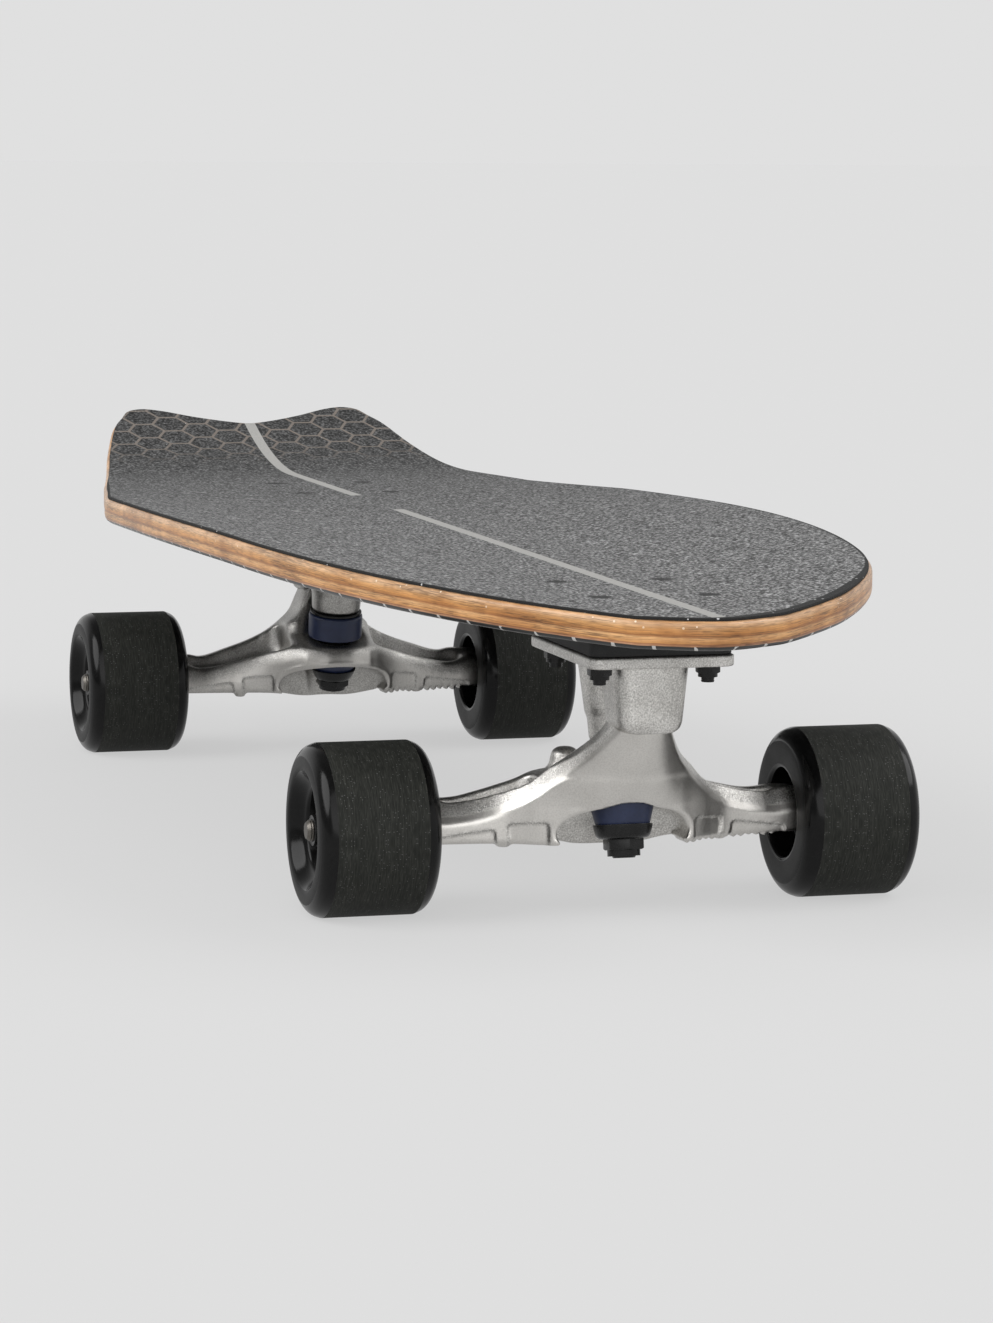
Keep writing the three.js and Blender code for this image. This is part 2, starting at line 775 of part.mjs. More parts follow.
for (const truck of trucks) {
  const { name } = truck;
  const axis = kingpinMatrix(truck);
  const washerBore = kingpinRadius + boreGap;
  const upperWasher = [washerBore, upperWasherRadius, upperWasherLow, upperWasherHigh];
  addPiece(`${name}_riser`, makeRiser(truck), finish(0x101010, 0.7, 0));
  addPiece(`${name}_baseplate`, makeBaseplate(truck), castFinish());
  addPiece(`${name}_kingpin`, makeKingpin(truck), blackSteel());
  addPiece(`${name}_pivot_cup`, makePivotCup(truck), finish(0x202020, 0.6, 0));
  addPiece(`${name}_upper_bushing`, makeBarrel(truck), bushingFinish());
  addPiece(`${name}_lower_bushing`, makeCone(truck), bushingFinish());
  addPiece(`${name}_upper_washer`, ring(...upperWasher, bushingSides, axis), blackSteel());
  addPiece(`${name}_lower_washer`, makeCup(truck), blackSteel());
  const nutCollar = kingpinNutFlats / 2 - kingpinTip;
  const nutSizes = [kingpinNutFlats, truck.nutLow, truck.nutHigh, nutCollar, truck.stack.nutHeight / 4];
  addPiece(`${name}_kingpin_nut`, lockNut(...nutSizes, washerBore, axis), blackSteel());
  for (const place of boltPlaces(truck)) {
    addPiece(`${name}_bolt_${place.name}`, makeBolt(place), blackSteel());
    addPiece(`${name}_lock_nut_${place.name}`, makeLockNut(place), blackSteel());
  }
}

// Hangers

const armAt = smoothTable(armShares);
const trenchAt = smoothTable(trenchShares);

// The beam from one wheel to the other, around the axle.
function armBeam(truck) {
  const sections = [];
  for (let i = 0; i <= armSteps; i++) {
    const along = -1 + (2 * i) / armSteps;
    const [front, back, height, drop] = armAt(Math.abs(along));
    const lowX = truck.axleX - back * hangerBack;
    const highX = truck.axleX + front * hangerFront;
    const lowZ = axleZ - drop * hangerDrop;
    const middle = Math.max(0, 1 - Math.abs(along) / crownReachShare);
    const power = armPower + (crownPower - armPower) * middle;
    const highZ = axleZ + height * (1 + truck.crownShare * middle) * hangerHeight;
    const toPoint = (x, z) => new THREE.Vector3(x, along * hangerHalf, z);
    sections.push(roundedSection(lowX, highX, lowZ, highZ, power, sectionSides, toPoint));
  }
  return loft(sections);
}

// The neck rises from the beam towards the pivot and narrows as it goes.
function neck(truck) {
  const { neckShares, neckPower } = truck;
  const neckAt = smoothTable(neckShares);
  const sections = [];
  const [from, to] = [neckShares[0][0], neckShares[neckShares.length - 1][0]];
  for (let i = 0; i <= neckSteps; i++) {
    const level = from + ((to - from) * i) / neckSteps;
    const [outer, inner, half] = neckAt(level).map((share) => share * neckRise);
    const toPoint = (ahead, y) =>
      new THREE.Vector3(truck.ringX + truck.side * ahead, y, axleZ + level * neckRise);
    sections.push(roundedSection(inner, outer, -half, half, neckPower, sectionSides, toPoint));
  }
  return loft(sections);
}

// The neck's round top and the pin that turns in the pivot cup.
function neckTop(truck) {
  const { shoulderReach } = truck;
  const pinEnd = truck.socketReach + pivotCupDepth - pivotCupWall - boreGap;
  const profile = [
    [0, shoulderReach / 2],
    [neckRadius, shoulderReach / 2],
    [neckRadius, shoulderReach - neckChamfer],
    [neckRadius - neckChamfer, shoulderReach],
    [pivotPinRadius, shoulderReach],
    [pivotPinRadius, pinEnd - pivotPinRadius / 3],
    [pivotPinRadius / 2, pinEnd],
    [0, pinEnd],
  ];
  return turned(profile, bossSides, steerMatrix(truck));
}

// The opening under the ring, seen from the nose: an arch open at the bottom.
function arch(truck) {
  const outline = [[-archHalf, -axleZ], [archHalf, -axleZ]];
  for (const [side, start] of [[1, 0], [-1, 1]]) {
    for (let i = 0; i <= archCornerSteps; i++) {
      const angle = (start + i / archCornerSteps) * (Math.PI / 2);
      const y = side * (archHalf - archCorner) + archCorner * Math.cos(angle);
      outline.push([y, archTop - archCorner + archCorner * Math.sin(angle)]);
    }
  }
  const low = truck.axleX + axleWall;
  const sections = [low, low + hangerFront + cutOver].map((x) =>
    outline.map(([y, z]) => new THREE.Vector3(x, y, axleZ + z)),
  );
  return loft(sections);
}

// The trench along the top of one arm, between its front beam and its back wall.
function trench(truck, hand) {
  const sections = [];
  const [from, to] = [trenchShares[0][0], trenchShares[trenchShares.length - 1][0]];
  for (let i = 0; i <= neckSteps; i++) {
    const along = from + ((to - from) * i) / neckSteps;
    const [middle, half, depth] = trenchAt(along);
    const height = armAt(along)[2] * hangerHeight;
    const top = axleZ + height + trenchRise;
    const floor = top - trenchRise - depth * (height - trenchFloor);
    const centre = truck.axleX + middle * hangerBack;
    const reach = half * hangerBack;
    const toPoint = (x, z) => new THREE.Vector3(x, hand * along * hangerHalf, z);
    const limits = [centre - reach, centre + reach, floor, 2 * top - floor];
    sections.push(roundedSection(...limits, trenchPower, trenchSides, toPoint));
  }
  return loft(sections);
}

// A round bar along Y at a place on the hanger.
function crossBar(x, z, radius, fromY, toY, sides) {
  const turn = new THREE.Matrix4().makeTranslation(x, 0, z);
  turn.multiply(new THREE.Matrix4().makeRotationX(-Math.PI / 2));
  return rod(radius, radius, fromY, toY, sides, turn);
}

function makeHanger(truck) {
  const end = hangerHalf + hangerEndRingStep;
  const reach = track / 2 + wheelWidth;
  const kingpinAxis = kingpinMatrix(truck);
  const bottomZ = axleZ - hangerDrop;
  let body = joined(
    armBeam(truck),
    neck(truck),
    neckTop(truck),
    crossBar(truck.axleX, axleZ, hangerEndRing, -end, end, axleSides),
  );
  for (const hand of [-1, 1]) {
    const nubY = (hand * hangerHalf) / 2;
    const nub = new THREE.Matrix4().makeTranslation(truck.axleX, nubY, 0);
    body = body.add(rod(nubRadius, nubRadius, bottomZ - nubDrop, axleZ, boltSides, nub));
    if (truck.side > 0) {
      const place = new THREE.Matrix4().makeTranslation(truck.axleX - lugBack, hand * lugOut, axleZ);
      const shoulder = lugRise - lugRadius / 2;
      body = body.add(rod(lugFootRadius, lugRadius, axleRadius, shoulder, boltSides, place));
      body = body.add(rod(lugRadius, lugRadius / 2, shoulder, lugRise, boltSides, place));
    }
  }
  const seat = bushingSeatRadius;
  return cut(
    body,
    rod(kingpinHoleRadius, kingpinHoleRadius, -hangerHeight, hangerHeight, bossSides, kingpinAxis),
    rod(seat, seat, ringFace, hangerHeight, bossSides, kingpinAxis),
    rod(seat, bossRoomRadius, bossFace / 3, bossFace, bossSides, kingpinAxis),
    rod(bossRoomRadius, neckTrimRadius, bossFace - restGap, truck.plateReach, bossSides, kingpinAxis),
    rod(seat, seat, -truck.ringZ, -ringFace, bossSides, kingpinAxis),
    arch(truck),
    trench(truck, 1),
    trench(truck, -1),
    crossBar(truck.axleX, axleZ, axleRadius + boreGap, -reach, reach, axleSides),
  );
}

// Axles, wheels and what holds them

const wheelY = track / 2;
const washerLowY = wheelY + coreHalf + restGap;
const axleNutLowY = washerLowY + speedWasherThickness + restGap;
const axleNutHighY = axleNutLowY + axleNutHeight;
const axleEndY = axleNutHighY + axleOverhang;
const alongY = (x, y) => {
  const place = new THREE.Matrix4().makeTranslation(x, y, axleZ);
  return place.multiply(new THREE.Matrix4().makeRotationX(-Math.PI / 2));
};

function makeAxle(truck) {
  const tip = axleRadius - axleEndChamfer;
  const shoulder = axleEndY - axleEndChamfer;
  const profile = [
    [0, -axleEndY],
    [tip, -axleEndY],
    [axleRadius, -shoulder],
    [axleRadius, shoulder],
    [tip, axleEndY],
    [0, axleEndY],
  ];
  return turned(profile, axleSides, alongY(truck.axleX, 0));
}

// The profile runs round one wheel, with its outer face towards positive Y. A flat of the
// tread faces down, so the radii are those of the corners.
function makeWheel(x, hand) {
  const corner = 1 / Math.cos(Math.PI / wheelSides);
  const tread = (wheelDiameter / 2) * corner;
  const face = wheelWidth / 2;
  const edge = treadWidth / 2;
  const seat = (bearingRadius + boreGap) * corner;
  const bearingLow = coreHalf - bearingWidth - restGap;
  const rimLow = face - lipDrop / 3;
  const profile = [
    [coreShoulderRadius, -bearingLow],
    [seat, -bearingLow],
    [seat, -coreHalf],
    [innerRecessRadius, -coreHalf - restGap],
    [innerRecessRadius, -face],
    [tread - sideRimBand, -rimLow],
    [tread - lipDrop / 2, -face + lipDrop],
    [tread, -edge],
    [tread, edge],
    [tread - lipDrop / 2, face - lipDrop],
    [tread - sideRimBand, rimLow],
    [sideRimRadius, face],
    [bearingRadius + lipDrop / 2, coreHalf + lipDrop / 2],
    [seat, coreHalf],
    [seat, bearingLow],
    [coreShoulderRadius, bearingLow],
    [coreShoulderRadius, -bearingLow],
  ].map(([radius, height]) => [radius, height * hand]);
  const turn = new THREE.Matrix4().makeRotationY(Math.PI / wheelSides);
  const place = new THREE.Matrix4().makeTranslation(x, hand * wheelY, axleZ).multiply(turn);
  return turned(profile, wheelSides, place.multiply(new THREE.Matrix4().makeRotationX(-Math.PI / 2)));
}

function makeBearing(truck, hand, outer) {
  const middle = outer * (coreHalf - bearingWidth / 2);
  const low = hand * (wheelY + middle) - bearingWidth / 2;
  const bore = (axleRadius + boreGap) / Math.cos(Math.PI / bearingSides);
  const sizes = [bore, bearingRadius, low, low + bearingWidth];
  return ring(...sizes, bearingSides, alongY(truck.axleX, 0));
}

function makeSpeedWasher(truck, hand) {
  const middle = hand * (washerLowY + speedWasherThickness / 2);
  const half = speedWasherThickness / 2;
  const sizes = [axleRadius + boreGap, speedWasherRadius, middle - half, middle + half];
  return ring(...sizes, axleSides, alongY(truck.axleX, 0));
}

function makeAxleNut(truck, hand) {
  const place = alongY(truck.axleX, 0);
  if (hand > 0) place.multiply(new THREE.Matrix4().makeRotationX(Math.PI));
  const collar = axleNutHeight / 3;
  const limits = [-axleNutHighY, -axleNutLowY];
  const collarRadius = axleNutFlats / 2 - collar / 3;
  return lockNut(axleNutFlats, ...limits, collarRadius, collar, axleRadius + boreGap, place);
}

for (const truck of trucks) {
  const { name } = truck;
  addPiece(`${name}_hanger`, makeHanger(truck), castFinish());
  addPiece(`${name}_axle`, makeAxle(truck), finish(0xb8b8b6, 0.3, 1));
  for (const [handName, hand] of [["left", 1], ["right", -1]]) {
    const place = `${name}_${handName}`;
    addPiece(`${place}_wheel`, makeWheel(truck.axleX, hand), finish(0x161616, 0.5, 0));
    addPiece(`${place}_outer_bearing`, makeBearing(truck, hand, 1), finish(0x2a2a2c, 0.35, 0.7));
    addPiece(`${place}_inner_bearing`, makeBearing(truck, hand, -1), finish(0x2a2a2c, 0.35, 0.7));
    addPiece(`${place}_speed_washer`, makeSpeedWasher(truck, hand), finish(0xb0b0ae, 0.3, 1));
    addPiece(`${place}_axle_nut`, makeAxleNut(truck, hand), blackSteel());
  }
}

export default skateboard;
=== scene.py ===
"""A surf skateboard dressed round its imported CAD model: a pressed deck on two cast carving trucks."""

import json
import math

import bmesh
import bpy
import numpy as np
from mathutils import Matrix, Vector
from mathutils.kdtree import KDTree


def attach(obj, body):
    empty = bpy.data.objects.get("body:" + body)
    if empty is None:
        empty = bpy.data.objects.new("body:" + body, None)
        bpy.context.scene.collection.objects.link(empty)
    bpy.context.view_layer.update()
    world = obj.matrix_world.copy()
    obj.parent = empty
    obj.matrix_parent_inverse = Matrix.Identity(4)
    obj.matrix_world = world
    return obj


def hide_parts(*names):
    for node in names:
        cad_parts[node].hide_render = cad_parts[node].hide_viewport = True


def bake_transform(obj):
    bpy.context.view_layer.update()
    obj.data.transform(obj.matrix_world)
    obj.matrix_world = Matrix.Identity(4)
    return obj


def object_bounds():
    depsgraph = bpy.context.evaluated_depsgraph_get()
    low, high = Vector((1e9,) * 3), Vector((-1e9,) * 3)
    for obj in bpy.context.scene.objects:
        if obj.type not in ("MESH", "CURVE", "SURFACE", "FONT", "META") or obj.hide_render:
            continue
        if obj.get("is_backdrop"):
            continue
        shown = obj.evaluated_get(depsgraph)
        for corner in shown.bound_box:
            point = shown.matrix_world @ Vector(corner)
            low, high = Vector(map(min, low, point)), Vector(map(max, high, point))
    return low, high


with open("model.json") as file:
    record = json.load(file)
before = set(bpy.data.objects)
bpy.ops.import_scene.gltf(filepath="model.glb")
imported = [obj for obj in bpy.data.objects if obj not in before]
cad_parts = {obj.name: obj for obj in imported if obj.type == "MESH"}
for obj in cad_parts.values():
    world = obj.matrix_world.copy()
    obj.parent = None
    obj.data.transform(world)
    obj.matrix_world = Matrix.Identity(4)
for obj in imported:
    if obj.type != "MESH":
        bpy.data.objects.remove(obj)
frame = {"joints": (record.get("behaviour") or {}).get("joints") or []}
cad_low, cad_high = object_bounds()
mm = 0.001


# Camera
# A long lens stands low, ahead of the nose and to the board's right. Its place was fitted to
# points on the wheels, the trucks and the deck.
camera_place = Vector((1.78168, -0.49243, 0.29201))
camera_yaw = 0.2839
camera_pitch = 0.1230
camera_roll = 0.0078
photo_height_pixels = 1323
focal_length_pixels = 4346.45
film_height = 36.0

forward = Vector(
    (
        -math.cos(camera_yaw) * math.cos(camera_pitch),
        math.sin(camera_yaw) * math.cos(camera_pitch),
        -math.sin(camera_pitch),
    )
)
level = forward.cross(Vector((0, 0, 1))).normalized()
upright = level.cross(forward)
across = math.cos(camera_roll) * level + math.sin(camera_roll) * upright
over = math.cos(camera_roll) * upright - math.sin(camera_roll) * level
lens = bpy.data.cameras.new("camera")
lens.sensor_fit = "VERTICAL"
lens.sensor_height = film_height
lens.lens = focal_length_pixels * film_height / photo_height_pixels
camera = bpy.data.objects.new("camera", lens)
turned_to_board = Matrix((across, over, -forward)).transposed().to_4x4()
camera.matrix_world = Matrix.Translation(camera_place) @ turned_to_board
bpy.context.scene.collection.objects.link(camera)
bpy.context.scene.camera = camera


# Ground and light
# A plain pale floor runs to the horizon. Two wide soft lamps stand at the board's sides, a weaker
# one ahead of it, and even light comes from all round. The ceiling and the left wall are darker.
bpy.context.scene.view_settings.view_transform = "Standard"
backdrop_grey = 0.745
ceiling_grey = 0.16
ceiling_span = (0.3, 0.85)
left_wall_share = 0.3
left_wall_span = (-0.55, -0.85)
mirrored_floor_grey = 0.62
ambient_strength = 0.55
floor_grey = 0.55
floor_paleness = 0.72
floor_reach = 30.0
lamps = [
    ("left_lamp", (0.08, -0.8, 0.62), 1.8, 46),
    ("right_lamp", (0.12, 0.8, 0.8), 1.2, 44),
    ("front_lamp", (0.9, -0.2, 0.55), 0.9, 60),
]


def add_node(tree, kind, inputs=None, **settings):
    """A node with its settings, whose inputs are values or other nodes' outputs."""
    node = tree.nodes.new(kind)
    for name, value in settings.items():
        setattr(node, name, value)
    for name, value in (inputs or {}).items():
        socket = node.inputs[name]
        if isinstance(value, bpy.types.NodeSocket):
            tree.links.new(value, socket)
        else:
            socket.default_value = value
    return node


def calc(tree, operation, *values, clamp=False):
    """The output of a Math node."""
    inputs = dict(enumerate(values))
    return add_node(tree, "ShaderNodeMath", inputs, operation=operation, use_clamp=clamp).outputs[0]


def grey(value):
    return (value, value, value, 1)


def share_between(tree, value, start, end, low=0.0, high=1.0, kind="SMOOTHSTEP"):
    """The low number where a value is at the start or before it, the high one from the end on, and
    between them a share of both."""
    inputs = {"Value": value, "From Min": start, "From Max": end, "To Min": low, "To Max": high}
    return add_node(tree, "ShaderNodeMapRange", inputs, interpolation_type=kind).outputs[0]


def light_paths(tree):
    """Light Path's outputs, and 1 for the rays that see the backdrop."""
    rays = add_node(tree, "ShaderNodeLightPath").outputs
    seen = calc(tree, "MAXIMUM", rays["Is Camera Ray"], rays["Is Glossy Ray"])
    return rays, calc(tree, "MAXIMUM", seen, rays["Is Transmission Ray"])


world = bpy.data.worlds.new("studio")
bpy.context.scene.world = world
world.use_nodes = True
sky = world.node_tree
sky.nodes.clear()
rays, seen = light_paths(sky)
direction = add_node(sky, "ShaderNodeTexCoord").outputs["Generated"]
toward = add_node(sky, "ShaderNodeSeparateXYZ", {0: direction}).outputs
ceiling = share_between(sky, toward["Z"], *ceiling_span, backdrop_grey, ceiling_grey)
left_wall = share_between(sky, toward["Y"], *left_wall_span, 1, left_wall_share)
backdrop = add_node(sky, "ShaderNodeBackground", {"Color": calc(sky, "MULTIPLY", ceiling, left_wall)})
ambient = add_node(sky, "ShaderNodeBackground", {"Color": grey(1), "Strength": ambient_strength})
shown = add_node(sky, "ShaderNodeMixShader", {0: seen, 1: ambient.outputs[0], 2: backdrop.outputs[0]})
add_node(sky, "ShaderNodeOutputWorld", {"Surface": shown.outputs[0]})

for name, direction, strength, width in lamps:
    lamp = bpy.data.lights.new(name, "SUN")
    lamp.energy = strength
    lamp.angle = math.radians(width)
    holder = bpy.data.objects.new(name, lamp)
    holder.rotation_euler = Vector(direction).to_track_quat("Z", "Y").to_euler()
    bpy.context.scene.collection.objects.link(holder)


def new_object(name, vertices, faces):
    mesh = bpy.data.meshes.new(name)
    mesh.from_pydata([tuple(v) for v in vertices], [], faces)
    made = bpy.data.objects.new(name, mesh)
    bpy.context.scene.collection.objects.link(made)
    return made


def new_material(name, **settings):
    """A material's node tree and its Principled BSDF, with plain settings on its sockets."""
    material = bpy.data.materials.new(name)
    material.use_nodes = True
    shader = material.node_tree.nodes["Principled BSDF"]
    for socket, value in settings.items():
        shader.inputs[socket.replace("_", " ")].default_value = value
    return material, material.node_tree, shader


floor_corners = [(x * floor_reach, y * floor_reach, 0) for x, y in ((-1, -1), (1, -1), (1, 1), (-1, 1))]
floor = new_object("floor", floor_corners, [(0, 1, 2, 3)])
floor_material, floor_tree, floor_shader = new_material(
    "pale floor", Base_Color=grey(floor_grey), Roughness=1.0, Specular_IOR_Level=0.0
)
rays, seen = light_paths(floor_tree)
mirrored = calc(floor_tree, "MULTIPLY", rays["Is Glossy Ray"], mirrored_floor_grey - backdrop_grey)
paper_grey = calc(floor_tree, "ADD", mirrored, backdrop_grey)
paper = add_node(floor_tree, "ShaderNodeEmission", {"Color": paper_grey})
paper_share = calc(floor_tree, "MULTIPLY", seen, floor_paleness)
layers = {0: paper_share, 1: floor_shader.outputs[0], 2: paper.outputs[0]}
mixed = add_node(floor_tree, "ShaderNodeMixShader", layers)
floor_tree.links.new(mixed.outputs[0], floor_tree.nodes["Material Output"].inputs["Surface"])
floor.data.materials.append(floor_material)
floor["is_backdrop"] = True


# Deck
# Seven maple plies glued and pressed, lacquered clear at the edge and painted black below. The
# blank is cut flat with a swallow tail, its rim is rounded, and then the press bends it.
deck_length = 746 * mm
deck_width = 252 * mm
deck_thickness = 10.5 * mm
deck_top = 122.2 * mm
deck_top_round = 1.8 * mm
deck_bottom_round = 3 * mm
rim_spacing = 2.5 * mm
blank_cell = 6 * mm
round_steps = 5
weld_distance = 1e-7
# Shares of half the length and half the width, from the tail's tip to the nose
side_shares = [
    (-1.0, 0.4106), (-0.992, 0.478), (-0.9706, 0.515), (-0.945, 0.556), (-0.859, 0.629),
    (-0.77, 0.685), (-0.68, 0.742), (-0.589, 0.7995), (-0.46, 0.872), (-0.347, 0.937),
    (-0.293, 0.963), (-0.212, 0.9775), (0.057, 1.0), (0.2726, 0.9815), (0.488, 0.922),
    (0.65, 0.8237), (0.7575, 0.7085), (0.8653, 0.5233), (0.919, 0.3816), (0.973, 0.187),
    (1.0, 0),
]
# The same shares from the middle of the tail's notch out to its tip
notch_shares = [(-0.9515, 0), (-0.957, 0.0773), (-0.9736, 0.2085), (-0.9935, 0.331)]
curve_steps = 12


def smooth_loop(corners):
    """A closed centripetal Catmull-Rom curve through the corners."""
    count = len(corners)
    points = []
    for i in range(count):
        before, start, end, after = (corners[(i + k) % count] for k in (-1, 0, 1, 2))
        first, middle, last = (
            math.sqrt(np.linalg.norm(b - a)) for a, b in ((before, start), (start, end), (end, after))
        )
        turn = (end - start) / middle
        leave = (start - before) / first - (end - before) / (first + middle) + turn
        arrive = turn - (after - start) / (middle + last) + (after - end) / last
        for t in np.arange(curve_steps) / curve_steps:
            ahead = t * t * (3 - 2 * t)
            bend = middle * ((t**3 - 2 * t**2 + t) * leave + (t**3 - t**2) * arrive)
            points.append(start + ahead * (end - start) + bend)
    return np.array(points)


def evenly_spread(loop, spacing):
    """The points of a closed loop at even steps along it, with the length up to each."""
    closed = np.vstack([loop, loop[:1]])
    length = np.concatenate([[0], np.cumsum(np.linalg.norm(np.diff(closed, axis=0), axis=1))])
    count = int(round(length[-1] / spacing))
    along = np.arange(count) * length[-1] / count
    return np.column_stack([np.interp(along, length, closed[:, k]) for k in (0, 1)]), along


half_size = np.array([deck_length / 2, deck_width / 2])
mirrored = np.array([1, -1])
one_side = np.array(side_shares) * half_size
one_notch = np.array(notch_shares) * half_size
rim_corners = np.vstack(
    [one_notch, one_side, (one_side * mirrored)[-2::-1], (one_notch * mirrored)[:0:-1]]
)
rim_points, rim_along = evenly_spread(smooth_loop(rim_corners), rim_spacing)
rim_ahead = np.roll(rim_points, -1, axis=0) - np.roll(rim_points, 1, axis=0)
rim_out = np.column_stack([-rim_ahead[:, 1], rim_ahead[:, 0]])
rim_out /= np.linalg.norm(rim_out, axis=1)[:, None]
rim_tree = KDTree(len(rim_points))
for i, (x, y) in enumerate(rim_points):
    rim_tree.insert((x, y, 0), i)
rim_tree.balance()


def flat_sheet(name, rings):
    """A closed flat sheet with the deck's outline, cut into small cells. A ring is a distance in
    from the outline and a height, and the rings run from the upper face round to the lower one."""
    shape = bmesh.new()
    loops = []
    for inset, height in rings:
        places = rim_points - inset * rim_out
        loops.append([shape.verts.new((x, y, height)) for x, y in places])
    for upper, lower in zip(loops, loops[1:]):
        for i in range(len(upper)):
            j = (i + 1) % len(upper)
            shape.faces.new((upper[i], lower[i], lower[j], upper[j]))
    shape.faces.new(loops[0])
    shape.faces.new(loops[-1][::-1])
    for axis, reach in enumerate(half_size):
        normal = Vector((axis == 0, axis == 1, 0))
        for place in np.arange(-reach + blank_cell, reach, blank_cell):
            everything = shape.verts[:] + shape.edges[:] + shape.faces[:]
            cut = {"plane_co": normal * place, "plane_no": normal}
            bmesh.ops.bisect_plane(shape, geom=everything, dist=weld_distance, **cut)
    bmesh.ops.recalc_face_normals(shape, faces=shape.faces)
    sheet = new_object(name, [], [])
    shape.to_mesh(sheet.data)
    shape.free()
    values = {"depth": [], "rim": [], "along": []}
    for vertex in sheet.data.vertices:
        _, i, distance = rim_tree.find((vertex.co.x, vertex.co.y, 0))
        values["depth"].append(-vertex.co.z)
        values["rim"].append(distance)
        values["along"].append(rim_along[i])
    for attribute, numbers in values.items():
        sheet.data.attributes.new(attribute, "FLOAT", "POINT").data.foreach_set("value", numbers)
    return sheet


def quarter_rings(radius, level, upper):
    """Rings round a rounded edge, from the upper face to the side or from the side to the lower."""
    rings = []
    for angle in np.linspace(0, math.pi / 2, round_steps):
        low, high = radius - radius * math.cos(angle), radius - radius * math.sin(angle)
        rings.append((high, level - low) if upper else (low, level + high))
    return rings


def new_tree(name, kind, inputs, outputs):
    """A node tree with named inputs and outputs, and its two end nodes."""
    tree = bpy.data.node_groups.new(name, kind)
    for label, (socket, value) in inputs.items():
        made = tree.interface.new_socket(label, in_out="INPUT", socket_type="NodeSocket" + socket)
        if value is not None:
            made.default_value = value
    for label, socket in outputs.items():
        tree.interface.new_socket(label, in_out="OUTPUT", socket_type="NodeSocket" + socket)
    given = tree.nodes.new("NodeGroupInput")
    result = tree.nodes.new("NodeGroupOutput")
    return tree, given.outputs, result


def end_tree(tree, given, result, shape):
    """The tree's end: its shape as real mesh, with its material."""
    whole = add_node(tree, "GeometryNodeRealizeInstances", {0: shape}).outputs[0]
    dressed = add_node(tree, "GeometryNodeSetMaterial", {0: whole, "Material": given["Material"]})
    tree.links.new(dressed.outputs[0], result.inputs[0])
    return tree


def make_press():
    """The press: an arc and a straight slope for the tail's kick, and sides that rise off a
    flat middle, fully near the nose and not at all at the tail."""
    inputs = {
        "Geometry": ("Geometry", None),
        "Material": ("Material", None),
        "Top Height": ("Float", deck_top),
        "Kick Start": ("Float", -259 * mm),
        "Kick Radius": ("Float", 250 * mm),
        "Kick Angle": ("Float", math.radians(19.7)),
        "Half Width": ("Float", deck_width / 2),
        "Flat Half Width": ("Float", 27 * mm),
        "Side Rise": ("Float", 9.8 * mm),
        "Side Power": ("Float", 1.12),
        "Rise Start": ("Float", -204 * mm),
        "Rise End": ("Float", 141 * mm),
        "Rise Power": ("Float", 1.5),
    }
    tree, given, result = new_tree("board press", "GeometryNodeTree", inputs, {"Geometry": "Geometry"})
    place = add_node(tree, "GeometryNodeInputPosition").outputs[0]
    x, y, height = add_node(tree, "ShaderNodeSeparateXYZ", {0: place}).outputs
    radius, angle = given["Kick Radius"], given["Kick Angle"]
    run = calc(tree, "MAXIMUM", calc(tree, "SUBTRACT", given["Kick Start"], x), 0.0)
    arc_end = calc(tree, "MULTIPLY", radius, calc(tree, "SINE", angle))
    arc_run = calc(tree, "MINIMUM", run, arc_end)
    chord = calc(tree, "SUBTRACT", calc(tree, "POWER", radius, 2.0), calc(tree, "POWER", arc_run, 2.0))
    arc_rise = calc(tree, "SUBTRACT", radius, calc(tree, "SQRT", chord))
    straight = calc(tree, "SUBTRACT", run, arc_run)
    kick = calc(tree, "MULTIPLY_ADD", straight, calc(tree, "TANGENT", angle), arc_rise)
    slope = calc(tree, "ARCSINE", calc(tree, "DIVIDE", arc_run, radius))
    share = calc(tree, "SUBTRACT", calc(tree, "ABSOLUTE", y), given["Flat Half Width"])
    spread = calc(tree, "SUBTRACT", given["Half Width"], given["Flat Half Width"])
    share = calc(tree, "DIVIDE", calc(tree, "MAXIMUM", share, 0.0), spread)
    rise = calc(tree, "MULTIPLY", calc(tree, "POWER", share, given["Side Power"]), given["Side Rise"])
    reach = calc(tree, "SUBTRACT", given["Rise End"], given["Rise Start"])
    left = calc(tree, "DIVIDE", calc(tree, "SUBTRACT", given["Rise End"], x), reach, clamp=True)
    fade = calc(tree, "SUBTRACT", 1.0, calc(tree, "POWER", left, given["Rise Power"]))
    surface = calc(tree, "ADD", calc(tree, "MULTIPLY_ADD", rise, fade, kick), given["Top Height"])
    raised = calc(tree, "ADD", surface, calc(tree, "DIVIDE", height, calc(tree, "COSINE", slope)))
    moved = add_node(tree, "ShaderNodeCombineXYZ", {"X": x, "Y": y, "Z": raised}).outputs[0]
    bent = add_node(tree, "GeometryNodeSetPosition", {"Geometry": given["Geometry"], "Position": moved})
    return end_tree(tree, given, result, bent.outputs[0])


def grow(piece, tree, **values):
    """Gives a piece a Geometry Nodes tree with values for its named inputs, and makes its result
    the piece's own plain mesh."""
    modifier = piece.modifiers.new(tree.name, "NODES")
    modifier.node_group = tree
    for item in tree.interface.items_tree:
        label = item.name.lower().replace(" ", "_")
        if item.in_out == "INPUT" and label in values:
            modifier[item.identifier] = values[label]
    return baked(piece)


def baked(piece):
    """Applies a piece's modifiers, so that its own mesh is the finished one."""
    graph = bpy.context.evaluated_depsgraph_get()
    shape = piece.evaluated_get(graph)
    made = bpy.data.meshes.new_from_object(shape, preserve_all_data_layers=True, depsgraph=graph)
    piece.modifiers.clear()
    piece.data = made
    return piece


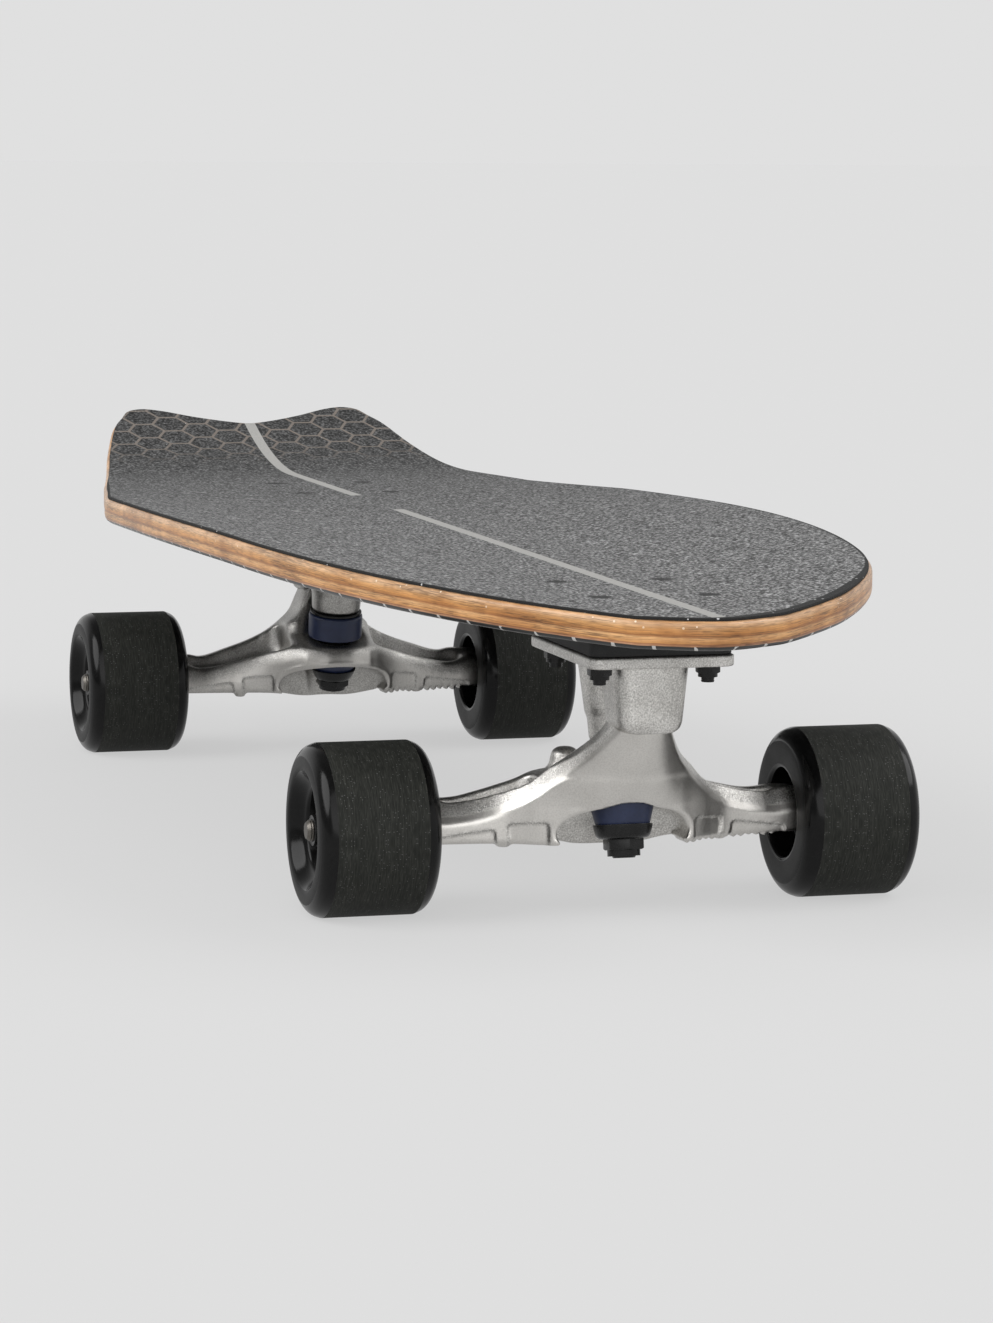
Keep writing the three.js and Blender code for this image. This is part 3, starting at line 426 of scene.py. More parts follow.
def smooth_shaded(piece, *materials, degrees=38):
    """Gives a piece the materials that it still lacks, and shades it smooth up to an angle."""
    for material in materials:
        piece.data.materials.append(material)
    piece.data.shade_smooth()
    piece.data.set_sharp_from_angle(angle=math.radians(degrees))
    return piece


def make_grain():
    """Cloudy variation between two sizes of noise: the same grain for plies, castings and paint."""
    inputs = {
        "Vector": ("Vector", None),
        "Fine Size": ("Float", 1 * mm),
        "Broad Size": ("Float", 20 * mm),
        "Broad Share": ("Float", 0.5),
    }
    tree, given, result = new_tree("grain", "ShaderNodeTree", inputs, {"Value": "Float"})
    layers = []
    for size, detail in (("Fine Size", 3.0), ("Broad Size", 2.0)):
        scale = calc(tree, "DIVIDE", 1.0, given[size])
        settings = {"Vector": given["Vector"], "Scale": scale, "Detail": detail, "Roughness": 0.6}
        layers.append(add_node(tree, "ShaderNodeTexNoise", settings).outputs["Fac"])
    inputs = {0: given["Broad Share"], 2: layers[0], 3: layers[1]}
    mixed = add_node(tree, "ShaderNodeMix", inputs, data_type="FLOAT").outputs[0]
    tree.links.new(mixed, result.inputs[0])
    return tree


def make_specks():
    """Round specks scattered over a surface: dust, grit and sanding crumbs."""
    inputs = {
        "Vector": ("Vector", None),
        "Spacing": ("Float", 4 * mm),
        "Radius": ("Float", 0.4 * mm),
        "Share": ("Float", 0.5),
    }
    tree, given, result = new_tree("specks", "ShaderNodeTree", inputs, {"Mask": "Float"})
    scale = calc(tree, "DIVIDE", 1.0, given["Spacing"])
    cells = add_node(tree, "ShaderNodeTexVoronoi", {"Vector": given["Vector"], "Scale": scale})
    reach = calc(tree, "DIVIDE", given["Radius"], given["Spacing"])
    close = calc(tree, "LESS_THAN", cells.outputs["Distance"], reach)
    lot = add_node(tree, "ShaderNodeSeparateColor", {0: cells.outputs["Color"]})
    picked = calc(tree, "LESS_THAN", lot.outputs[0], given["Share"])
    tree.links.new(calc(tree, "MULTIPLY", close, picked), result.inputs[0])
    return tree


grain = make_grain()
specks = make_specks()


def use_group(tree, group, **values):
    """One of the shared node groups in a material, with its own values."""
    inputs = {label.replace("_", " "): value for label, value in values.items()}
    return add_node(tree, "ShaderNodeGroup", inputs, node_tree=group).outputs[0]


def blend_colour(tree, share, first, second, kind="MIX"):
    """The output of a colour Mix node between two colours or outputs."""
    inputs = {0: share, 6: first, 7: second}
    return add_node(tree, "ShaderNodeMix", inputs, data_type="RGBA", blend_type=kind).outputs[2]


def ramp(tree, value, stops):
    """A Color Ramp's colour output. A stop is a place and a colour."""
    node = add_node(tree, "ShaderNodeValToRGB", {0: value})
    band = node.color_ramp
    while len(band.elements) < len(stops):
        band.elements.new(0.5)
    for element, (place, colour) in zip(band.elements, stops):
        element.position = place
        element.color = colour
    return node.outputs[0]


def surface_value(tree, name):
    """A number that the mesh carries at each vertex."""
    return add_node(tree, "ShaderNodeAttribute", attribute_name=name).outputs["Fac"]


def add_bump(tree, shader, height, distance, strength):
    inputs = {"Height": height, "Distance": distance, "Strength": strength}
    tree.links.new(add_node(tree, "ShaderNodeBump", inputs).outputs[0], shader.inputs["Normal"])


ply_colours = [
    (0.0, (0.60, 0.36, 0.19, 1)),
    (0.17, (0.66, 0.42, 0.24, 1)),
    (0.27, (0.60, 0.32, 0.12, 1)),
    (0.40, (0.54, 0.25, 0.07, 1)),
    (0.50, (0.33, 0.14, 0.04, 1)),
    (0.58, (0.66, 0.38, 0.17, 1)),
    (0.74, (0.58, 0.29, 0.10, 1)),
    (0.79, (0.34, 0.15, 0.06, 1)),
    (0.86, (0.60, 0.33, 0.19, 1)),
    (0.97, (0.50, 0.24, 0.13, 1)),
]
ply_stretch = 0.05
ply_wander = 0.09
streak_tones = [(0.38, grey(0.36)), (0.5, grey(0.9)), (0.6, grey(1.14))]
stain_tones = [(0.4, (0.72, 0.62, 0.5, 1)), (0.55, (1.02, 1.0, 0.98, 1))]
crumb_colour = (0.8, 0.66, 0.5, 1)
crumb_fade = (0.45, 0.1)
paint_black = grey(0.012)
paint_edge = (1.7 * mm, 1.4 * mm)
tick_white = (0.55, 0.54, 0.52, 1)
tick_spacing = 15 * mm
tick_width = 1.3 * mm
tick_reach = 9 * mm


def make_wood():
    material, tree, shader = new_material("laminated maple", Roughness=0.42, Coat_Weight=0.25)
    depth, along, rim = (surface_value(tree, name) for name in ("depth", "along", "rim"))
    layer = calc(tree, "DIVIDE", depth, deck_thickness)
    lengthwise = {"X": calc(tree, "MULTIPLY", along, ply_stretch), "Y": depth}
    lengthwise = add_node(tree, "ShaderNodeCombineXYZ", lengthwise).outputs[0]
    wander = use_group(tree, grain, Vector=lengthwise, Fine_Size=1.2 * mm, Broad_Size=5 * mm)
    layer = calc(tree, "MULTIPLY_ADD", calc(tree, "SUBTRACT", wander, 0.5), ply_wander, layer)
    sizes = {"Fine_Size": 0.35 * mm, "Broad_Size": 2.5 * mm, "Broad_Share": 0.4}
    streaks = use_group(tree, grain, Vector=lengthwise, **sizes)
    plies, shade = ramp(tree, layer, ply_colours), ramp(tree, streaks, streak_tones)
    wood = blend_colour(tree, 1.0, plies, shade, "MULTIPLY")
    place = add_node(tree, "ShaderNodeTexCoord").outputs["Object"]
    patches = use_group(tree, grain, Vector=place, Fine_Size=14 * mm, Broad_Size=60 * mm)
    wood = blend_colour(tree, 1.0, wood, ramp(tree, patches, stain_tones), "MULTIPLY")
    crumbs = use_group(tree, specks, Vector=place, Spacing=3.2 * mm, Radius=0.42 * mm, Share=0.45)
    upper = share_between(tree, layer, *crumb_fade)
    wood = blend_colour(tree, calc(tree, "MULTIPLY", crumbs, upper), wood, crumb_colour)
    painted = share_between(tree, depth, *(deck_thickness - edge for edge in paint_edge))
    phase = calc(tree, "WRAP", along, tick_spacing / 2, -tick_spacing / 2)
    tick = calc(tree, "LESS_THAN", calc(tree, "ABSOLUTE", phase), tick_width / 2)
    tick = calc(tree, "MULTIPLY", tick, calc(tree, "LESS_THAN", rim, tick_reach))
    paint = blend_colour(tree, tick, paint_black, tick_white)
    colour = blend_colour(tree, painted, wood, paint)
    tree.links.new(colour, shader.inputs["Base Color"])
    add_bump(tree, shader, streaks, distance=0.05 * mm, strength=0.5)
    return material


press = make_press()
top_margins = (6 * mm, 3.5 * mm)
bottom_margins = (4.5 * mm, 7 * mm)
deck_rings = (
    [(margin, 0) for margin in top_margins]
    + quarter_rings(deck_top_round, 0, True)
    + [(0, -deck_thickness / 2)]
    + quarter_rings(deck_bottom_round, -deck_thickness, False)
    + [(margin, -deck_thickness) for margin in bottom_margins]
)
deck = grow(flat_sheet("maple_deck", deck_rings), press, material=make_wood())
smooth_shaded(deck)
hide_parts("deck")
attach(deck, "board")


# Grip tape
# One coarse black abrasive sheet glued over the whole top and trimmed just inside the rim. It
# carries a honeycomb that fades out over the kick, and a pale line down the middle. Shade is
# painted in over each bolt head.
grip_inset = 1.4 * mm
grip_thickness = 1.1 * mm
grip_lift = 0.02 * mm
grip_edge_rows = (1.2 * mm, 0.3 * mm)
grip_edge_drop = 0.25 * mm
honeycomb_cell = 15.7 * mm
honeycomb_line = 0.9 * mm
stripe_width = 5 * mm
stripe_gap = (-136 * mm, -63 * mm)
# The bare black band that the trimming leaves: over the kick, along the sides and at the nose
trim_bands = (0.3 * mm, 1.2 * mm, 4.6 * mm)
trim_soft_edge = (0.3 * mm, -0.3 * mm)
kick_span = (-260 * mm, -200 * mm)
nose_span = (250 * mm, 330 * mm)
nose_half_span = (-20 * mm, 20 * mm)
# Tones from the tail's tip to the nose, and of the gaps and tips of the grit over them
grip_tones = [
    (0.0, grey(0.03)),
    (0.08, grey(0.04)),
    (0.2, grey(0.075)),
    (0.5, grey(0.105)),
    (1.0, grey(0.125)),
]
grit_tones = [(0.38, grey(0.08)), (0.47, grey(0.5)), (0.53, grey(1.3)), (0.62, grey(3.2))]
grip_black = grey(0.012)
crumb_grey = grey(0.5)
honeycomb_brown = (0.17, 0.145, 0.125, 1)
honeycomb_cover = 0.85
honeycomb_fade = (-292 * mm, -335 * mm)
stripe_grey = (0.34, 0.335, 0.32, 1)
stripe_cover = 0.9
stripe_soft_edge = 0.3 * mm
dust_cover = 0.6
bolt_spacing_along = 54 * mm
bolt_spacing_across = 41.3 * mm
# Painted shade: a dark round patch over each bolt head stands in for the shade of the dip where the grip
# sinks into the countersink
bolt_shade_radius = 3.6 * mm
bolt_shade_cover = 0.93
bolt_shade_wobble = 1.5 * bolt_shade_radius
bolt_shade_span = (2.3 * bolt_shade_radius, 1.8 * bolt_shade_radius)
joints = {joint["name"]: joint for joint in frame["joints"]}
plate_offsets = {"front": 10.1 * mm, "rear": -3 * mm}
plate_middles = {
    name: joints[f"{name}_steer"]["pos_m"][0] + offset for name, offset in plate_offsets.items()
}


def make_honeycomb():
    """Thin lines round six-sided cells that point across the board."""
    inputs = {
        "Vector": ("Vector", None),
        "Cell": ("Float", honeycomb_cell),
        "Line": ("Float", honeycomb_line),
    }
    tree, given, result = new_tree("honeycomb", "ShaderNodeTree", inputs, {"Mask": "Float"})
    size = calc(tree, "DIVIDE", 1.0, given["Cell"])

    def vector(operation, inputs):
        return add_node(tree, "ShaderNodeVectorMath", inputs, operation=operation).outputs[0]

    place = vector("SCALE", {0: given["Vector"], 3: size})
    half = (0.5, math.sqrt(3) / 2, 0.5)
    opposite = tuple(-value for value in half)
    nearest = []
    for offset in ((0, 0, 0), half):
        wrapped = vector("WRAP", {0: vector("SUBTRACT", {0: place, 1: offset}), 1: half, 2: opposite})
        parts = add_node(tree, "ShaderNodeSeparateXYZ", {0: vector("ABSOLUTE", {0: wrapped})}).outputs
        slanted = calc(tree, "MULTIPLY_ADD", parts[0], half[0], calc(tree, "MULTIPLY", parts[1], half[1]))
        nearest.append(calc(tree, "MAXIMUM", parts[0], slanted))
    centre_distance = calc(tree, "MINIMUM", *nearest)
    edge = calc(tree, "MULTIPLY", calc(tree, "SUBTRACT", 0.5, centre_distance), given["Cell"])
    half_line = calc(tree, "DIVIDE", given["Line"], 2.0)
    mask = share_between(tree, edge, given["Line"], half_line)
    tree.links.new(mask, result.inputs[0])
    return tree


def make_grip():
    material, tree, shader = new_material("coarse grip", Roughness=0.92)
    place = add_node(tree, "ShaderNodeTexCoord").outputs["Object"]
    x, y, _ = add_node(tree, "ShaderNodeSeparateXYZ", {0: place}).outputs
    forward = calc(tree, "DIVIDE", calc(tree, "ADD", x, deck_length / 2), deck_length)
    tone = ramp(tree, forward, grip_tones)
    grit = use_group(tree, grain, Vector=place, Fine_Size=1.3 * mm, Broad_Size=3.5 * mm, Broad_Share=0.22)
    colour = blend_colour(tree, 1.0, tone, ramp(tree, grit, grit_tones), "MULTIPLY")
    comb = use_group(tree, make_honeycomb(), Vector=place)
    comb = calc(tree, "MULTIPLY", comb, share_between(tree, x, *honeycomb_fade))
    colour = blend_colour(tree, calc(tree, "MULTIPLY", comb, honeycomb_cover), colour, honeycomb_brown)
    stripe_edges = (stripe_width / 2 + stripe_soft_edge, stripe_width / 2)
    stripe = share_between(tree, calc(tree, "ABSOLUTE", y), *stripe_edges)
    behind = calc(tree, "LESS_THAN", x, stripe_gap[0])
    ahead = calc(tree, "GREATER_THAN", x, stripe_gap[1])
    stripe = calc(tree, "MULTIPLY", stripe, calc(tree, "ADD", behind, ahead))
    colour = blend_colour(tree, calc(tree, "MULTIPLY", stripe, stripe_cover), colour, stripe_grey)
    dust = use_group(tree, specks, Vector=place, Spacing=7 * mm, Radius=0.35 * mm, Share=0.5)
    colour = blend_colour(tree, calc(tree, "MULTIPLY", dust, dust_cover), colour, crumb_grey)
    across = calc(tree, "SUBTRACT", calc(tree, "ABSOLUTE", y), bolt_spacing_across / 2)
    distances = []
    for middle in plate_middles.values():
        along = calc(tree, "ABSOLUTE", calc(tree, "SUBTRACT", x, middle))
        offset = {"X": calc(tree, "SUBTRACT", along, bolt_spacing_along / 2), "Y": across}
        offset = {0: add_node(tree, "ShaderNodeCombineXYZ", offset).outputs[0]}
        length = add_node(tree, "ShaderNodeVectorMath", offset, operation="LENGTH")
        distances.append(length.outputs["Value"])
    # The painted shade over the eight bolt heads, its edge made ragged by the grit
    bolt_shade_edge = calc(tree, "MULTIPLY_ADD", grit, bolt_shade_wobble, calc(tree, "MINIMUM", *distances))
    bolt_shade = share_between(tree, bolt_shade_edge, *bolt_shade_span)
    colour = blend_colour(tree, calc(tree, "MULTIPLY", bolt_shade, bolt_shade_cover), colour, grip_black)
    over_kick, along_sides, round_nose = trim_bands
    off_kick = share_between(tree, x, *kick_span)
    one_side_of_nose = share_between(tree, y, *nose_half_span)
    at_nose = calc(tree, "MULTIPLY", share_between(tree, x, *nose_span), one_side_of_nose)
    band = calc(tree, "MULTIPLY_ADD", off_kick, along_sides - over_kick, grip_inset + over_kick)
    band = calc(tree, "MULTIPLY_ADD", at_nose, round_nose - along_sides, band)
    rim = surface_value(tree, "rim")
    trimmed = share_between(tree, calc(tree, "SUBTRACT", rim, band), *trim_soft_edge)
    torn = use_group(tree, specks, Vector=place, Spacing=3.2 * mm, Radius=0.5 * mm, Share=0.3)
    colour = blend_colour(tree, trimmed, colour, blend_colour(tree, torn, grip_black, crumb_grey))
    tree.links.new(colour, shader.inputs["Base Color"])
    add_bump(tree, shader, grit, distance=0.6 * mm, strength=0.9)
    return material


grip_rings = [
    (top_margins[0], grip_thickness),
    (grip_inset + grip_edge_rows[0], grip_thickness),
    (grip_inset + grip_edge_rows[1], grip_thickness),
    (grip_inset, grip_thickness - grip_edge_drop),
    (grip_inset, grip_lift),
    (top_margins[0], grip_lift),
]
grip = grow(flat_sheet("grip_sheet", grip_rings), press, material=make_grip())
smooth_shaded(grip)
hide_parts("grip_tape")
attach(grip, "board")


# Riser pads
# A thick black rubber pad lies between the deck and each truck. It is punched out of sheet, so
# its sides are straight and its corners round.
plate_length = 79 * mm
plate_width = 55.6 * mm
plate_thickness = 4.5 * mm
plate_corner = 5 * mm
plate_bottom = 98.1 * mm
plate_top = plate_bottom + plate_thickness
deck_bottom = deck_top - deck_thickness
riser_inset = 0.8 * mm
riser_edge = 0.5 * mm
edge_corner_share = 0.3
glue_line = 0.05 * mm
corner_steps = 8
kingpin_lean = math.radians(10)
trucks = []
for name, side in (("front", 1), ("rear", -1)):
    ring = Vector(joints[f"{name}_steer"]["pos_m"])
    steer_axis = Vector(joints[f"{name}_steer"]["axis"])
    wheel_place = Vector(joints[f"{name}_left_wheel_spin"]["pos_m"])
    truck = {
        "name": name,
        "side": side,
        "ring": ring,
        "plate_middle": plate_middles[name],
        "plate_reach": (plate_bottom - ring.z) / math.cos(kingpin_lean),
        "axle": Vector((wheel_place.x, 0, wheel_place.z)),
        "kingpin": Matrix.Translation(ring) @ Matrix.Rotation(-side * kingpin_lean, 4, "Y"),
        "pivot": Matrix.Translation(ring) @ Matrix.Rotation(math.atan2(*steer_axis.xz), 4, "Y"),
    }
    trucks.append(truck)


def rounded_rectangle(low_x, high_x, half, corner):
    points = []
    corners = [
        (high_x - corner, half - corner),
        (low_x + corner, half - corner),
        (low_x + corner, corner - half),
        (high_x - corner, corner - half),
    ]
    for quarter, (x, y) in enumerate(corners):
        for angle in np.linspace(quarter, quarter + 1, corner_steps) * math.pi / 2:
            points.append((x + corner * math.cos(angle), y + corner * math.sin(angle)))
    return points


def loft(name, sections):
    """A closed skin over sections that hold equal numbers of points."""
    shape = bmesh.new()
    rows = [[shape.verts.new(point) for point in section] for section in sections]
    for row in (rows[0], rows[-1]):
        shape.faces.new(row)
    for low, high in zip(rows, rows[1:]):
        for i in range(len(low)):
            j = (i + 1) % len(low)
            shape.faces.new((low[i], low[j], high[j], high[i]))
    bmesh.ops.recalc_face_normals(shape, faces=shape.faces)
    made = new_object(name, [], [])
    shape.to_mesh(made.data)
    shape.free()
    return made


def rounded_slab(name, truck, inset, low, high, edge):
    """A plate with a truck's outline, whose long edges are rounded."""
    reach = plate_length / 2 - inset
    half = plate_width / 2 - inset
    corner = edge * edge_corner_share
    levels = [(edge, low), (corner, low + corner), (0, low + edge)]
    levels += [(0, high - edge), (corner, high - corner), (edge, high)]
    middle = truck["plate_middle"]
    sections = []
    for away, z in levels:
        ends = (middle - reach + away, middle + reach - away)
        outline = rounded_rectangle(*ends, half - away, plate_corner - away)
        sections.append([(x, y, z) for x, y in outline])
    return loft(name, sections)


def cloudy_material(name, tones, sizes, rough=None, bump=None, **settings):
    """A material whose colour wanders with the grain, and its roughness and height too where a
    span and a depth are given. The sizes are the grain's fine and broad one and the broad share."""
    material, tree, shader = new_material(name, **settings)
    place = add_node(tree, "ShaderNodeTexCoord").outputs["Object"]
    labels = ("Fine_Size", "Broad_Size", "Broad_Share")
    cloud = use_group(tree, grain, Vector=place, **dict(zip(labels, sizes)))
    tree.links.new(ramp(tree, cloud, tones), shader.inputs["Base Color"])
    if rough:
        wandering = share_between(tree, cloud, *grain_span, *rough, kind="LINEAR")
        tree.links.new(wandering, shader.inputs["Roughness"])
    if bump:
        add_bump(tree, shader, cloud, *bump)
    return material


grain_span = (0.3, 0.7)
pad_tones = [(0.35, grey(0.012)), (0.65, grey(0.024))]
pad_grain = (0.5 * mm, 9 * mm)
pad_rubber = cloudy_material(
    "black pad rubber", pad_tones, pad_grain, bump=(0.05 * mm, 0.6), Roughness=0.7
)
for truck in trucks:
    levels = (plate_top + glue_line, deck_bottom - glue_line)
    pad = rounded_slab(f"{truck['name']}_pad", truck, riser_inset, *levels, riser_edge)
    smooth_shaded(pad, pad_rubber)
    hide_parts(f"{truck['name']}_riser")
    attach(pad, "board")


# Baseplates
# A cast aluminium plate with a round boss for the kingpin and a tapered housing for the pivot,
# tumbled after casting, so that no edge is sharp.
bolt_radius = 2.5 * mm
boss_radius = 12.5 * mm
boss_face = 17.5 * mm
housing_front = 39 * mm
housing_back = 13 * mm
housing_half_top = 15 * mm
housing_half_bottom = 12.6 * mm
housing_drop = 25.5 * mm
housing_round = 4 * mm
housing_draft = 1.4 * mm
housing_power = 4
# From the housing's lower end up: shares of its rounding, upwards and inwards, and of its draft
housing_curve = [(0, 1, 1), (0.12, 0.6, 0.75), (0.45, 0.2, 0.3), (1, 0, 0)]
plate_edge = 0.6 * mm
drill_spare = 1 * mm
sink_share = 0.6
web_half = 8 * mm
web_drop = 15 * mm
pivot_height = 77 * mm
neck_shoulder_over = 2.8 * mm
neck_radius = 10.6 * mm
neck_chamfer = 1.2 * mm
pin_radius = 5.9 * mm
cup_outer_radius = 7.4 * mm
cup_depth = 8.6 * mm
kingpin_radius = 4.76 * mm
cast_voxel = 0.62 * mm
cast_smoothing = 5
clearance = 0.3 * mm
press_fit = 0.2 * mm
ring_face = 4.5 * mm
# Shares of the boss's radius and of its whole height
boss_shares = [(0.83, 0), (0.9, 0.04), (0.93, 0.24), (1, 0.31), (1.18, 1)]
cast_tones = [
    (0.38, (0.37, 0.36, 0.345, 1)),
    (0.5, (0.56, 0.55, 0.53, 1)),
    (0.62, (0.76, 0.75, 0.73, 1)),
]
ground_tones = [
    (0.34, (0.56, 0.545, 0.52, 1)),
    (0.5, (0.64, 0.625, 0.60, 1)),
    (0.66, (0.70, 0.685, 0.66, 1)),
]
# The thin dark lines round the hanger's sunk panels are partly grime and partly painted shade of their
# recessed edges
crease_grime_and_shade_grey = (0.17, 0.165, 0.155, 1)
crease_grime_and_shade_cover = 0.75
# How much of the casting's relief grinding takes off
ground_loss = 0.75
# The tint that goes with the painted light and shade scaling the aluminium's colour
painted_light_tint = (1, 0.995, 0.985)
cast_roughness = (0.3, 0.42)


def turned(name, profile, matrix=Matrix(), sides=72):
    """A profile of radius and height pairs turned about Z, with its length round and along the
    profile as its UV map. It starts and ends on the axis, or closes on itself."""
    shape = bmesh.new()
    spread = shape.loops.layers.uv.new("round_and_along")
    rows, lengths = [], [0.0]
    for k, (radius, height) in enumerate(profile):
        if k:
            lengths.append(lengths[-1] + math.dist(profile[k - 1], profile[k]))
        turns = [2 * math.pi * i / sides for i in range(1 if radius < weld_distance else sides)]
        places = [Vector((radius * math.cos(a), radius * math.sin(a), height)) for a in turns]
        rows.append([shape.verts.new(matrix @ place) for place in places])
    widest = max(radius for radius, _ in profile)
    for low in range(len(rows) - 1):
        for i in range(sides):
            corners = [(low, i), (low, i + 1), (low + 1, i + 1), (low + 1, i)]
            chosen, used = [], []
            for row, step in corners:
                vertex = rows[row][step % len(rows[row])]
                if vertex not in chosen:
                    chosen.append(vertex)
                    used.append((2 * math.pi * step / sides * widest, lengths[row]))
            face = shape.faces.new(chosen)
            for corner, place in zip(face.loops, used):
                corner[spread].uv = place
    bmesh.ops.remove_doubles(shape, verts=shape.verts[:], dist=weld_distance)
    bmesh.ops.recalc_face_normals(shape, faces=shape.faces)
    made = new_object(name, [], [])
    shape.to_mesh(made.data)
    shape.free()
    return made


def rod(radius, low, high, matrix, sides=72):
    return turned("rod", [(0, low), (radius, low), (radius, high), (0, high)], matrix, sides)


def rounded_section(low_a, high_a, low_b, high_b, power, sides):
    """Points round a rounded box; a higher power is squarer."""
    points = []
    for i in range(sides):
        angle = 2 * math.pi * (i + 0.5) / sides
        a, b = math.cos(angle), math.sin(angle)
        a = (high_a - low_a) * math.copysign(abs(a) ** (2 / power), a)
        b = (high_b - low_b) * math.copysign(abs(b) ** (2 / power), b)
        points.append(((low_a + high_a + a) / 2, (low_b + high_b + b) / 2))
    return points


def carve(base, others, operation):
    """Joins solids to a base or cuts them out of it, and removes them."""
    for other in others:
        modifier = base.modifiers.new("carve", "BOOLEAN")
        modifier.operation = operation
        modifier.solver = "MANIFOLD"
        modifier.object = other
    baked(base)
    for other in others:
        bpy.data.objects.remove(other)


def cast(piece):
    """Turns a sharp solid into a casting: an even skin whose edges and corners are rounded."""
    skin = piece.modifiers.new("skin", "REMESH")
    skin.mode = "VOXEL"
    skin.voxel_size = cast_voxel
    tumbled = piece.modifiers.new("tumbled", "SMOOTH")
    tumbled.factor = 0.5
    tumbled.iterations = cast_smoothing
    baked(piece)
    piece.data.shade_smooth()
    return piece


def make_cast_metal(name, painted_light):
    """Cast aluminium, its colour scaled by a share of painted light: above 1 for a copy painted lit, below
    1 for one painted in shade.
    """
    material, tree, shader = new_material(name, Metallic=1.0)
    place = add_node(tree, "ShaderNodeTexCoord").outputs["Object"]
    painted = surface_value(tree, "ground")
    ground = calc(tree, "MAXIMUM", painted, 0, clamp=True)
    crease_grime_and_shade = calc(tree, "MULTIPLY", painted, -crease_grime_and_shade_cover, clamp=True)
    cloud = use_group(tree, grain, Vector=place, Fine_Size=0.6 * mm, Broad_Size=14 * mm, Broad_Share=0.3)
    clean = blend_colour(tree, ground, ramp(tree, cloud, cast_tones), ramp(tree, cloud, ground_tones))
    painted_light_colour = (*(painted_light * share for share in painted_light_tint), 1)
    painted_light_colour = blend_colour(tree, 1.0, clean, painted_light_colour, "MULTIPLY")
    # Where the attribute is negative, grime and painted shade darken the panels' outlines
    tree.links.new(blend_colour(tree, crease_grime_and_shade, painted_light_colour, crease_grime_and_shade_grey), shader.inputs["Base Color"])
    dull = share_between(tree, cloud, *grain_span, *cast_roughness, kind="LINEAR")
    tree.links.new(dull, shader.inputs["Roughness"])
    pits = use_group(tree, grain, Vector=place, Fine_Size=0.5 * mm, Broad_Size=2.5 * mm, Broad_Share=0.25)
    left = calc(tree, "MULTIPLY_ADD", ground, -ground_loss, 1)
    add_bump(tree, shader, calc(tree, "MULTIPLY", pits, left), distance=0.2 * mm, strength=0.85)
    return material


def bolt_places(truck):
    middle = truck["plate_middle"]
    return [
        (middle + along * bolt_spacing_along / 2, across * bolt_spacing_across / 2)
        for along in (1, -1)
        for across in (1, -1)
    ]


def make_baseplate(truck):
    """The plate with its boss, its housing and the web between them, bored for what it holds."""
    side, ring = truck["side"], truck["ring"]
    plate = rounded_slab(f"{truck['name']}_plate", truck, 0, plate_bottom, plate_top, plate_edge)
    boss_top = truck["plate_reach"] + plate_thickness * sink_share
    profile = [(0, boss_face)]
    profile += [(share * boss_radius, boss_face + up * (boss_top - boss_face)) for share, up in boss_shares]
    boss = turned("boss", profile + [(0, boss_top)], truck["kingpin"])
    low = plate_bottom - housing_drop
    sunk = plate_bottom + plate_thickness / 2
    levels = [
        (low + up * housing_round, housing_half_bottom - inward * housing_round, -draft * housing_draft)
        for up, inward, draft in housing_curve
    ]
    sections = []
    for z, half, ahead in levels + [(sunk, housing_half_top, housing_draft / 2)]:
        outline = rounded_section(housing_back, housing_front + ahead, -half, half, housing_power, 64)
        sections.append([(ring.x + side * x, y, z) for x, y in outline])
    housing = loft("housing", sections)
    back, front = sorted((ring.x, ring.x + side * (housing_back + web_half)))
    outline = [(back, -web_half), (front, -web_half), (front, web_half), (back, web_half)]
    web = loft("web", [[(x, y, z) for x, y in outline] for z in (plate_bottom - web_drop, sunk)])
    carve(plate, [boss, housing, web], "UNION")
    pivot_reach = (pivot_height - ring.z) / truck["pivot"].col[2].z
    socket = truck["socket"] = pivot_reach + neck_shoulder_over + clearance * 2
    cuts = [
        rod(kingpin_radius + press_fit, 0, boss_top + 2 * drill_spare, truck["kingpin"]),
        rod(neck_radius + clearance, 0, socket, truck["pivot"]),
        rod(cup_outer_radius + press_fit, 0, socket + cup_depth + clearance, truck["pivot"]),
    ]
    for x, y in bolt_places(truck):
        ends = (plate_bottom - drill_spare, plate_top + drill_spare)
        cuts.append(rod(bolt_radius + clearance, *ends, Matrix.Translation((x, y, 0)), 24))
    carve(plate, cuts, "DIFFERENCE")
    return cast(plate)


# Lit and shaded copies of one aluminium: the front truck's castings are painted lit, the rear's painted in
# shade
cast_metals = {
    "front": make_cast_metal("tumbled aluminium", 1.12),
    "rear": make_cast_metal("worn aluminium", 0.76),
}
for truck in trucks:
    plate = make_baseplate(truck)
    plate.data.materials.clear()
    plate.data.materials.append(cast_metals[truck["name"]])
    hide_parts(f"{truck['name']}_baseplate")
    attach(plate, "board")


# Deck bolts and lock nuts
# Eight black steel bolts with countersunk cross heads come down through the grip, the deck, the
# pad and the plate. A lock nut with a round collar holds each one from below.
bolt_head_radius = 4.75 * mm
bolt_head_height = 2.6 * mm
bolt_head_proud = 0.7 * mm
bolt_head_top = deck_top + bolt_head_proud
lock_nut_flats = 8 * mm
lock_nut_height = 4.8 * mm
lock_nut_collar = 1.5 * mm
lock_nut_gap = 0.05 * mm
lock_nut_top = plate_bottom - lock_nut_gap
bolt_tail = 1.9 * mm
thread_pitch = 0.8 * mm
small_edge = 0.22 * mm


